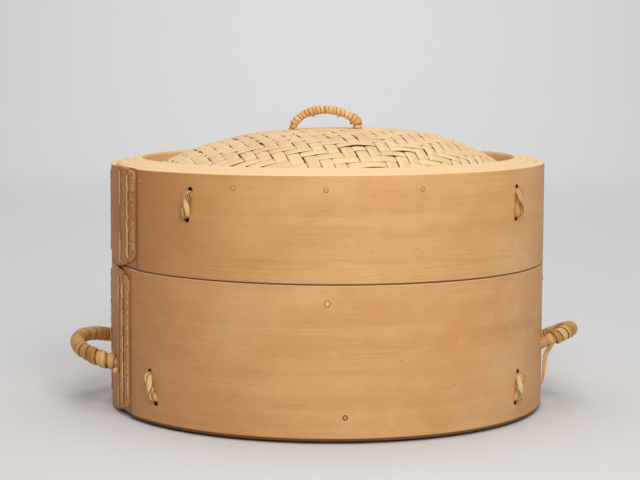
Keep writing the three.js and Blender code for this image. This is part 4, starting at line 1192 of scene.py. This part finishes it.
class STEAMER_OT_boards(bpy.types.Operator):
    """Bends the boards of the basket and of the lid"""

    bl_idname = "steamer.boards"
    bl_label = "Bent Boards"

    def execute(self, context):
        sizes = context.scene.steamer_sizes
        outer, thick = sizes.ring_radius, sizes.board_thickness
        through = (outer - 9 * MM, outer + 4 * MM)
        blind = (outer - 5.6 * MM, outer + 4 * MM)
        for body, colours, figure, figure_share, patina, rim, foot, rows, eases in BOARDS:
            low, high = (corner.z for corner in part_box(body + "_wall"))
            wood = finish(
                f"bent_cypress_{body}_board",
                board_material,
                *colours,
                figure,
                rim=thick / 2 + rim * MM,
                foot=thick / 2 + high - low - foot * MM,
                patina=patina,
                figure_share=figure_share,
                lines=[row * MM for row in rows],
            )
            surface = board_surface(body, low, high, outer, thick, eases)
            board = make_piece(body + "_board", [surface], wood, body, body + "_board", body + "_wall")
            holes = tie_holes(body, through)
            for (_, azimuths, height, radius), _ in PEGS[body]:
                holes += [hole_surface(a, height, radius + PEG_ROOM, through) for a in azimuths]
            if body == "basket":
                holes.append(hole_surface(STAY_AZIMUTH, STAY_HEIGHT, STAY_HOLE, blind))
            cut_holes(board, holes)
        return {"FINISHED"}


class STEAMER_OT_hoops(bpy.types.Operator):
    """Turns the hoops inside the boards"""

    bl_idname = "steamer.hoops"
    bl_label = "Inner Hoops"

    def execute(self, context):
        ease = context.scene.steamer_sizes.hoop_ease
        # Base, dark and pale colour, height of the figure on the map and the pale rim. The pale rim is
        # planed wood and partly painted highlight; cypress is darkened as painted shade on the rim's inner
        # wall, and the wood in shade is painted shade on the foot hoop under the board
        woods = {
            "cypress": ("BC8856", "9A683A", "D9AE7A", 0.96, 5 * MM),
            "pale": ("DDB88A", "B98B58", "EFD3A6", 0.96, 5 * MM),
            "worn": ("C08E58", "96663A", "D8AC78", 0.96),
            "scorched": ("8A5C34", "5C391C", "A87A4A", 0.99),
        }
        # Node, piece, body, wood, taper of the top and thickness in mm, and whether ties pass
        hoops = (
            ("collar_hoop", "collar", "basket", "worn", 1.6, 6.0, False),
            ("base_hoop", "foot_hoop", "basket", "scorched", 0, 6.0, True),
            ("lid_liner", "liner", "lid", "cypress", 0, 6.0, True),
            ("middle_hoop", "second_hoop", "lid", "cypress", 0, 5.5, True),
            ("mat_clamp_hoop", "clamp_hoop", "lid", "pale", 0, 5.5, False),
            ("mat_rest_hoop", "rest_hoop", "lid", "cypress", 0, 5.5, True),
        )
        for node, name, body, wood, taper, thick, tied in hoops:
            low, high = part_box(node)
            outer, inner = high.x + 0.1 * MM, high.x - (thick + 0.05) * MM
            surface = hoop_surface(outer, inner, low.z, high.z, ease, taper * MM)
            material = finish("bent_hoop_" + wood, board_material, *woods[wood])
            hoop = make_piece(name, [surface], material, body, "hoop_wood", node)
            if tied:
                cut_holes(hoop, tie_holes(body, HOOP_CUTS))
        return {"FINISHED"}


class STEAMER_OT_woven_dome(bpy.types.Operator):
    """Weaves the bamboo dome of the lid"""

    bl_idname = "steamer.woven_dome"
    bl_label = "Woven Dome"

    def execute(self, context):
        sizes = context.scene.steamer_sizes
        rng = np.random.default_rng(7)
        pitches = (sizes.strip_pitch, sizes.cross_pitch)
        strips = woven_strips(pitches, sizes.weave_turn, rng)
        material = finish("split_bamboo_weave", weave_material, "EBC691", "55300F", "F6DDA8")
        make_piece("woven_mat", strips, material, "lid", "bamboo_weave", "woven_dome", sharp=50)
        return {"FINISHED"}


class STEAMER_OT_side_handles(bpy.types.Operator):
    """Bends and winds the two side handles"""

    bl_idname = "steamer.side_handles"
    bl_label = "Side Handles"

    def execute(self, context):
        sizes = context.scene.steamer_sizes
        outer = sizes.ring_radius
        # Widths of the turns from the foot nearer the front: wide and doubled first, narrow behind
        left = (5, 9, 8, 8, 7, 5.5, 5) + (3.8,) * 13 + (3.1,) * 10 + (4.5, 4.5, 4)
        right = (4.4, 5.5, 6, 6.5, 5) + (4.4,) * 19
        # Azimuth. In mm, half width, height of the feet, twist, reach and rise. Turns, bare feet and
        # the height of the doubled turns in mm, and seed
        handles = (
            ("left_handle", -90.0, (54, 39, -1.4, 38, 10), left, (0.5, 1), 0.5, 3),
            ("right_handle", 94.0, (43, 44.5, 7.6, 31, 13.6), right, (10, 6), 0.0, 5),
        )
        for name, azimuth, arch, shares, bare, doubled, seed in handles:
            rng = np.random.default_rng(seed)
            line = side_handle_line(azimuth, *[size * MM for size in arch], outer)
            plane = np.cross(line[200] - line[60], line[340] - line[60])
            plane /= np.linalg.norm(plane)
            length = arc_lengths(line)[-1]
            ends = np.abs(np.linspace(-1, 1, 400)) > 1 - 2 * POLE_END / length
            core = round_tube(line, plane, np.where(ends, POLE_END_RADIUS, POLE_RADIUS), 20)
            pole = cane("bare_rattan_pole")
            make_piece(name + "_pole", [core], pole, "basket", "rattan_core", name + "_core")
            start, end = HANDLE_FOOT + bare[0] * MM, length - HANDLE_FOOT - bare[1] * MM
            uneven = np.array(shares) * rng.uniform(0.85, 1.15, len(shares))
            bulge = (doubled * MM, start + DOUBLED_STRETCH, -1)
            strip = (WINDING_RADIUS, sizes.cane_thickness)
            wrap = wound_strip(line, plane, start, end, uneven, *strip, rng, bulge)
            winding = cane("winding_cane")
            make_piece(name + "_winding", [wrap], winding, "basket", "cane_wrap", name + "_wrap")
            if name == "right_handle":
                self.right_stay(line, HANDLE_FOOT + STAY_CROSSING, outer)
        self.left_stay(outer)
        return {"FINISHED"}

    @staticmethod
    def right_stay(line, at, outer):
        """Two flat strands looped over the handle's foot and drawn down into a hole in the wall.

        Round the foot each strand is a circle of 5.2 mm about the handle's line, in the plane
        across it; below it both runs lean together, and they enter the hole side by side.
        """
        table = arc_lengths(line)
        centre = sample(table, np.array([at]), line)[0]
        ahead = sample(table, np.array([at + MM]), line)[0] - centre
        ahead /= np.linalg.norm(ahead)
        out, across = outward(STAY_AZIMUTH), sideways(STAY_AZIMUTH)
        rise = np.cross(ahead, across)
        rise = rise if rise[2] > 0 else -rise
        turn = np.radians([232, 200, 165, 135, 90, 45, 15, -20, -52])[:, None]
        surfaces = []
        for strand, (shift, size, spread) in enumerate(((-1.2, 5.1, 1.5), (1.25, 5.3, 0.9))):
            ring = centre + ahead * shift * MM + (across * np.cos(turn) + rise * np.sin(turn)) * size * MM
            # Places below the loop: shift along the wall, distance from it, and height over the hole
            runs = (
                (spread * 1.3, 4.2 + shift, 26),
                (spread * 0.8, 2.6 + 0.4 * shift, 12),
                (spread * 0.6, 1.3, 3.2),
                (spread * 0.5, -1.2, 0.4),
                (spread * 0.4, -3.5, 0.0),
            )
            feet = []
            for side in (1, -1):
                foot = np.array([out * (outer + r * MM) + across * a * side * MM for a, r, _ in runs])
                foot[:, 2] = STAY_HEIGHT + np.array([h for _, _, h in runs]) * MM
                feet.append(foot)
            path = centripetal(np.concatenate([feet[1][::-1], ring, feet[0]]), 9)
            surfaces.append(flat_strip(path, ahead, 2.2 * MM, 0.9 * MM, 0.3 + 0.5 * strand))
        strip = cane("split_cane_strip")
        make_piece("right_stay_cane", surfaces, strip, "basket", "cane_strip", "right_handle_stay")

    @staticmethod
    def left_stay(outer):
        """A thin strip down the wall from a knot under the handle's foot, an uneven ball."""
        low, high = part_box("left_handle_stay")
        rng = np.random.default_rng(11)
        azimuth = np.degrees(np.arctan2(-abs(low.x + high.x), -(low.y + high.y)))
        stitches = (11 * MM, 1.5 * MM, 0.8 * MM, 0.7 * MM)
        rows = ridge_stitches(azimuth, outer + 0.45 * MM, low.z, high.z - 3 * MM, *stitches, rng)
        centre = outward(azimuth) * (outer + 3.0 * MM)
        centre[2] = high.z - 2.6 * MM
        turn = np.linspace(-np.pi / 2, np.pi / 2, 12)[1:-1]
        ball = full_turn(20)[None]
        tall, wide = np.sin(turn)[:, None], np.cos(turn)[:, None]
        size = 2.5 * MM * (1 + 0.08 * np.sin(3 * ball) * wide)
        grid = np.stack([wide * np.cos(ball) * size, wide * np.sin(ball) * size, tall * size], -1)
        knot = grid_surface(grid[:, ::-1] + centre, turn, tone=0.8)
        strip = cane("split_cane_strip")
        make_piece("left_stay_cane", rows + [knot], strip, "basket", "cane_strip", "left_handle_stay")


class STEAMER_OT_top_handle(bpy.types.Operator):
    """Bends and winds the arched handle on the dome"""

    bl_idname = "steamer.top_handle"
    bl_label = "Top Handle"

    def execute(self, context):
        half, rise, offset = 27.5 * MM, 15.6 * MM, -3 * MM
        radius, end_radius, end_length = 2.2 * MM, 3.6 * MM, 5 * MM
        strip = (2.3 * MM, 0.9 * MM)
        base = MAT_TOP + DOME_RISE
        arch = ((-1, 0), (-0.66, 0.7), (0.03, 1), (0.72, 0.72), (0.97, 0.32), (0.94, 0))
        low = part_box("top_handle_core")[0]
        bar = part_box("handle_crossbar")[1].z
        flat = [(-1, low.z), (-1, bar)] + [(a, base + b * rise) for a, b in arch]
        flat = np.array(flat + [(0.94, bar), (0.94, low.z)])
        axis = outward(85.0)
        points = axis * (offset + half * flat[:, :1])
        points[:, 2] = flat[:, 1]
        line = resample(centripetal(points, 24), 400)
        plane = np.cross(axis, UP)
        length = arc_lengths(line)[-1]
        along = np.linspace(0, length, 400)
        ends = np.minimum(along, length - along) < end_length
        core = round_tube(line, plane, np.where(ends, end_radius, radius), 16)
        pole = cane("bare_rattan_pole")
        make_piece("top_handle_pole", [core], pole, "lid", "rattan_core", "top_handle_core")
        start = base - low.z + 0.5 * MM
        rng = np.random.default_rng(4)
        shares = rng.uniform(0.8, 1.2, 20)
        # The strip is knotted over itself near its end
        knot = (1.3 * MM, length - start - 11 * MM, 1)
        pieces = [wound_strip(line, plane, start, length - start, shares, *strip, rng, knot)]
        for at, reach in ((0.4, 6.5), (0.6, 5.0)):
            t = np.linspace(0, 1, 12)[:, None]
            way = axis * (1 if at < 0.5 else -1)
            tail = line[int(at * 400)] + way * reach * MM * (t - 0.3) - UP * (2.6 + 1.6 * t**2) * MM
            pieces.append(flat_strip(tail, plane, 2.0 * MM * (1 - 0.5 * t[:, 0]), 0.8 * MM, 0.0))
        winding = cane("golden_winding_cane")
        make_piece("top_handle_winding", pieces, winding, "lid", "cane_wrap", "top_handle_wrap")
        return {"FINISHED"}


class STEAMER_OT_ties(bpy.types.Operator):
    """Twists the cane ties through the walls"""

    bl_idname = "steamer.ties"
    bl_label = "Cane Ties"

    def execute(self, context):
        outer = context.scene.steamer_sizes.ring_radius + TIE_STAND
        rng = np.random.default_rng(21)
        for body, (ties, heights, reach) in TIES.items():
            for name, tie in zip(TIE_NAMES, ties):
                line = tie_line(tie, reach, outer, heights)
                strands = twisted_tie(line, tie, rng.uniform(-0.5, 0.5), rng)
                twist = cane("twisted_tie_cane")
                make_piece(f"{body}_cane_{name}", strands, twist, body, "cane_tie", f"{body}_tie_{name}")
        return {"FINISHED"}


class STEAMER_OT_stitches(bpy.types.Operator):
    """Sews the laps of both boards"""

    bl_idname = "steamer.stitches"
    bl_label = "Lap Stitches"

    def execute(self, context):
        outer = context.scene.steamer_sizes.ring_radius
        rng = np.random.default_rng(31)
        # Piece, body, node, and its runs: azimuth. In mm, low, high, pitch, width, hook and stand
        rows = (
            ("ridge", "lid", "middle", ((-61.3, 131.5, 197.5, 11, 2.2, 4.2, 1.3),)),
            (
                "silhouette",
                "lid",
                "inner",
                (
                    (-85, 130, 196, 9, 2.0, 1.0, 0.5),
                    (-67, 173.5, 199.5, 8, 1.8, 4.0, 0.9),
                    (-67, 127, 151.5, 8, 1.8, 4.0, 0.9),
                ),
            ),
            ("ridge", "basket", "middle", ((-65.1, 12, 108.5, 10.6, 2.2, 4.6, 1.3),)),
            (
                "silhouette",
                "basket",
                "inner",
                ((-85.5, 12, 113, 7.6, 2.2, 1.0, 0.7), (-68.8, 89.5, 113.5, 8, 1.8, 4.0, 0.9)),
            ),
        )
        for piece, body, node, runs in rows:
            surfaces = []
            for azimuth, *spans in runs:
                face = outer + LAP_PROUD * (1 - (LAPS[body] - azimuth) / LAP_SPAN)
                surfaces += ridge_stitches(azimuth, face, *[span * MM for span in spans], rng)
            name = f"{body}_sewing_{piece}"
            make_piece(name, surfaces, cane("sewing_cane"), body, "cane_strip", f"{body}_stitch_{node}")
        # Body, and its runs in mm: low, high, pitch and length
        edges = {
            "lid": ((138, 160, 1.3, 5.5), (160, 171, 1.1, 4.5), (171, 188, 1.0, 6.5), (188, 195, 1.4, 4.0)),
            "basket": ((20, 66, 4.5, 2.6), (66, 104, 3.6, 2.6)),
        }
        for body, runs in edges.items():
            surfaces = []
            for spans in runs:
                sizes = [span * MM for span in spans]
                surfaces += edge_ticks(LAPS[body], outer + LAP_PROUD, *sizes, rng)
            ends = cane("sewing_cane_ends")
            make_piece(f"{body}_sewing_edge", surfaces, ends, body, "cane_strip", f"{body}_stitch_outer")
        return {"FINISHED"}


class STEAMER_OT_pegs(bpy.types.Operator):
    """Drives the bamboo pegs"""

    bl_idname = "steamer.pegs"
    bl_label = "Bamboo Pegs"

    def execute(self, context):
        outer = context.scene.steamer_sizes.ring_radius
        for body, groups in PEGS.items():
            for (prefix, azimuths, height, radius), (name, *look) in groups:
                heads = [self.head(azimuth, height, outer, radius) for azimuth in azimuths]
                nodes = [f"{prefix}{i + 1}" for i in range(len(azimuths))]
                material = finish(name, peg_material, *look)
                make_piece(prefix + "heads", heads, material, body, "bamboo_peg", *nodes)
        return {"FINISHED"}

    @staticmethod
    def head(azimuth, height, outer, radius):
        """A pin with a slightly domed head: rings of growing radius, then the shank in the board."""
        share = np.array([0.02, 0.3, 0.5, 0.65, 0.8, 0.93, 1.0, 1.0])
        proud = np.array([0.4, 0.38, 0.34, 0.28, 0.2, 0.08, -0.1, -6.4]) * MM
        turn = full_turn(24)[::-1, None]
        ring = sideways(azimuth) * np.cos(turn) + UP * np.sin(turn)
        grid = ring[None] * (share * radius)[:, None, None]
        grid = grid + outward(azimuth) * (outer + proud)[:, None, None]
        grid[..., 2] += height
        return grid_surface(grid, share)


class STEAMER_OT_inner_bamboo(bpy.types.Operator):
    """Finishes the grate, its bars, the ribs and the crossbar"""

    bl_idname = "steamer.inner_bamboo"
    bl_label = "Grate and Ribs"

    def execute(self, context):
        slats = finish("split_bamboo_slat", bamboo_material, "DDB983", "B98D55")
        bars = finish("split_bamboo_bar", bamboo_material, "D3AB72", "A67A45")
        plain = {
            "grate": slats,
            "support": bars,
            "dome_rib": bars,
            "handle_crossbar": bars,
            "rib_lashing": cane("split_cane_strip"),
        }
        for name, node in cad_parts.items():
            for start, material in plain.items():
                if name.startswith(start):
                    node.data.materials.clear()
                    node.data.materials.append(material)
        return {"FINISHED"}


class STEAMER_OT_stage(bpy.types.Operator):
    """Lays the floor and backdrop and sets the lights and the camera"""

    bl_idname = "steamer.stage"
    bl_label = "Studio"

    def execute(self, context):
        self.backdrop(context)
        self.lights(context)
        self.camera(context)
        context.scene.view_settings.view_transform = "Standard"
        return {"FINISHED"}

    @staticmethod
    def backdrop(context):
        """A floor that sweeps up behind: flat, then a quarter circle of 1 m, then a wall."""
        front, bend_start, radius, top, half_width = -4, 2.2, 1, 5, 6
        flat = np.stack([np.linspace(front, bend_start, 20), np.zeros(20)], -1)
        bend = np.linspace(-np.pi / 2, 0, 24)[1:]
        sweep = np.stack([bend_start + radius * np.cos(bend), radius + radius * np.sin(bend)], -1)
        wall = np.stack([np.full(6, bend_start + radius), np.linspace(1.2, top, 6)], -1)
        profile = np.concatenate([flat, sweep, wall])
        x = np.linspace(-half_width, half_width, 24)
        sides = (x[:, None], profile[None, :, 0], profile[None, :, 1])
        grid = np.stack([np.broadcast_to(side, (24, len(profile))) for side in sides], -1)
        mesh = new_mesh("studio_sweep", [grid_surface(grid, x, arc_lengths(profile), wrap_v=False)])
        smooth(mesh, 60)
        mesh.materials.append(paper_material("studio_paper", context.scene.steamer_finishes))
        add_object("studio_sweep", mesh)

    @staticmethod
    def lights(context):
        """A broad panel high in front, a soft one overhead and an even sky."""
        panels = (
            ("front_panel", (0.38, -2.3, 1.75), (0.0, 0.0, 0.1), 1.7, 55, (1.0, 0.99, 0.97)),
            ("top_panel", (0.0, 0.15, 2.2), (0.0, 0.1, 0.1), 1.5, 18, (1.0, 1.0, 1.0)),
        )
        for name, place, target, size, power, colour in panels:
            data = bpy.data.lights.new(name, "AREA")
            data.shape = "SQUARE"
            data.size = size
            data.energy = power
            data.color = colour
            back = np.array(place) - np.array(target)
            back = back / np.linalg.norm(back)
            right = np.cross(UP if abs(back[2]) < 0.95 else [0, 1.0, 0], back)
            right /= np.linalg.norm(right)
            turn = np.stack([right, np.cross(back, right), back], -1)
            lamp = add_object(name, data)
            lamp.matrix_world = Matrix.Translation(place) @ Matrix(turn.tolist()).to_4x4()
        world = bpy.data.worlds.new("studio_air")
        world.use_nodes = True
        sky = world.node_tree.nodes["Background"]
        set_inputs(world.node_tree, sky, {"Color": linear("F4F4F6"), "Strength": 0.29})
        context.scene.world = world

    @staticmethod
    def camera(context):
        """The photograph's camera: 1.65 m away, 0.32 m up, looking slightly down."""
        place = (0.0, -1.651, 0.3185)
        pitch, yaw, roll = 0.1100, -0.0038, 0.0052
        sensor, image_width, focal_pixels = 36.0, 640, 1977.9
        ahead = np.array([np.sin(yaw) * np.cos(pitch), np.cos(yaw) * np.cos(pitch), -np.sin(pitch)])
        right = np.cross(ahead, UP)
        right /= np.linalg.norm(right)
        up = np.cross(right, ahead)
        turned_right = np.cos(roll) * right + np.sin(roll) * up
        turned_up = -np.sin(roll) * right + np.cos(roll) * up
        turn = np.stack([turned_right, turned_up, -ahead], -1)
        data = bpy.data.cameras.new("photo_camera")
        data.sensor_width = sensor
        data.lens = focal_pixels / image_width * sensor
        camera = add_object("photo_camera", data)
        camera.matrix_world = Matrix.Translation(place) @ Matrix(turn.tolist()).to_4x4()
        context.scene.camera = camera


OPERATORS = (
    STEAMER_OT_boards,
    STEAMER_OT_hoops,
    STEAMER_OT_woven_dome,
    STEAMER_OT_side_handles,
    STEAMER_OT_top_handle,
    STEAMER_OT_ties,
    STEAMER_OT_stitches,
    STEAMER_OT_pegs,
    STEAMER_OT_inner_bamboo,
    STEAMER_OT_stage,
)


class STEAMER_PT_panel(bpy.types.Panel):
    """Lists the steamer's pieces"""

    bl_idname = "STEAMER_PT_panel"
    bl_label = "Steamer"
    bl_space_type = "VIEW_3D"
    bl_region_type = "UI"
    bl_category = "Steamer"

    def draw(self, context):
        layout = self.layout
        for name in SteamerSizes.__annotations__:
            layout.prop(context.scene.steamer_sizes, name)
        for name in SteamerFinishes.__annotations__:
            layout.prop(context.scene.steamer_finishes, name)
        for operator in OPERATORS:
            layout.operator(operator.bl_idname)


CLASSES = (SteamerSizes, SteamerFinishes, *OPERATORS, STEAMER_PT_panel)


def register():
    for item in CLASSES:
        bpy.utils.register_class(item)
    bpy.types.Scene.steamer_sizes = bpy.props.PointerProperty(type=SteamerSizes)
    bpy.types.Scene.steamer_finishes = bpy.props.PointerProperty(type=SteamerFinishes)


def unregister():
    del bpy.types.Scene.steamer_finishes
    del bpy.types.Scene.steamer_sizes
    for item in reversed(CLASSES):
        bpy.utils.unregister_class(item)


def main():
    register()
    bpy.ops.steamer.boards()
    bpy.ops.steamer.hoops()
    bpy.ops.steamer.woven_dome()
    bpy.ops.steamer.side_handles()
    bpy.ops.steamer.top_handle()
    bpy.ops.steamer.ties()
    bpy.ops.steamer.stitches()
    bpy.ops.steamer.pegs()
    bpy.ops.steamer.inner_bamboo()
    bpy.ops.steamer.stage()


if __name__ == "__main__":
    main()
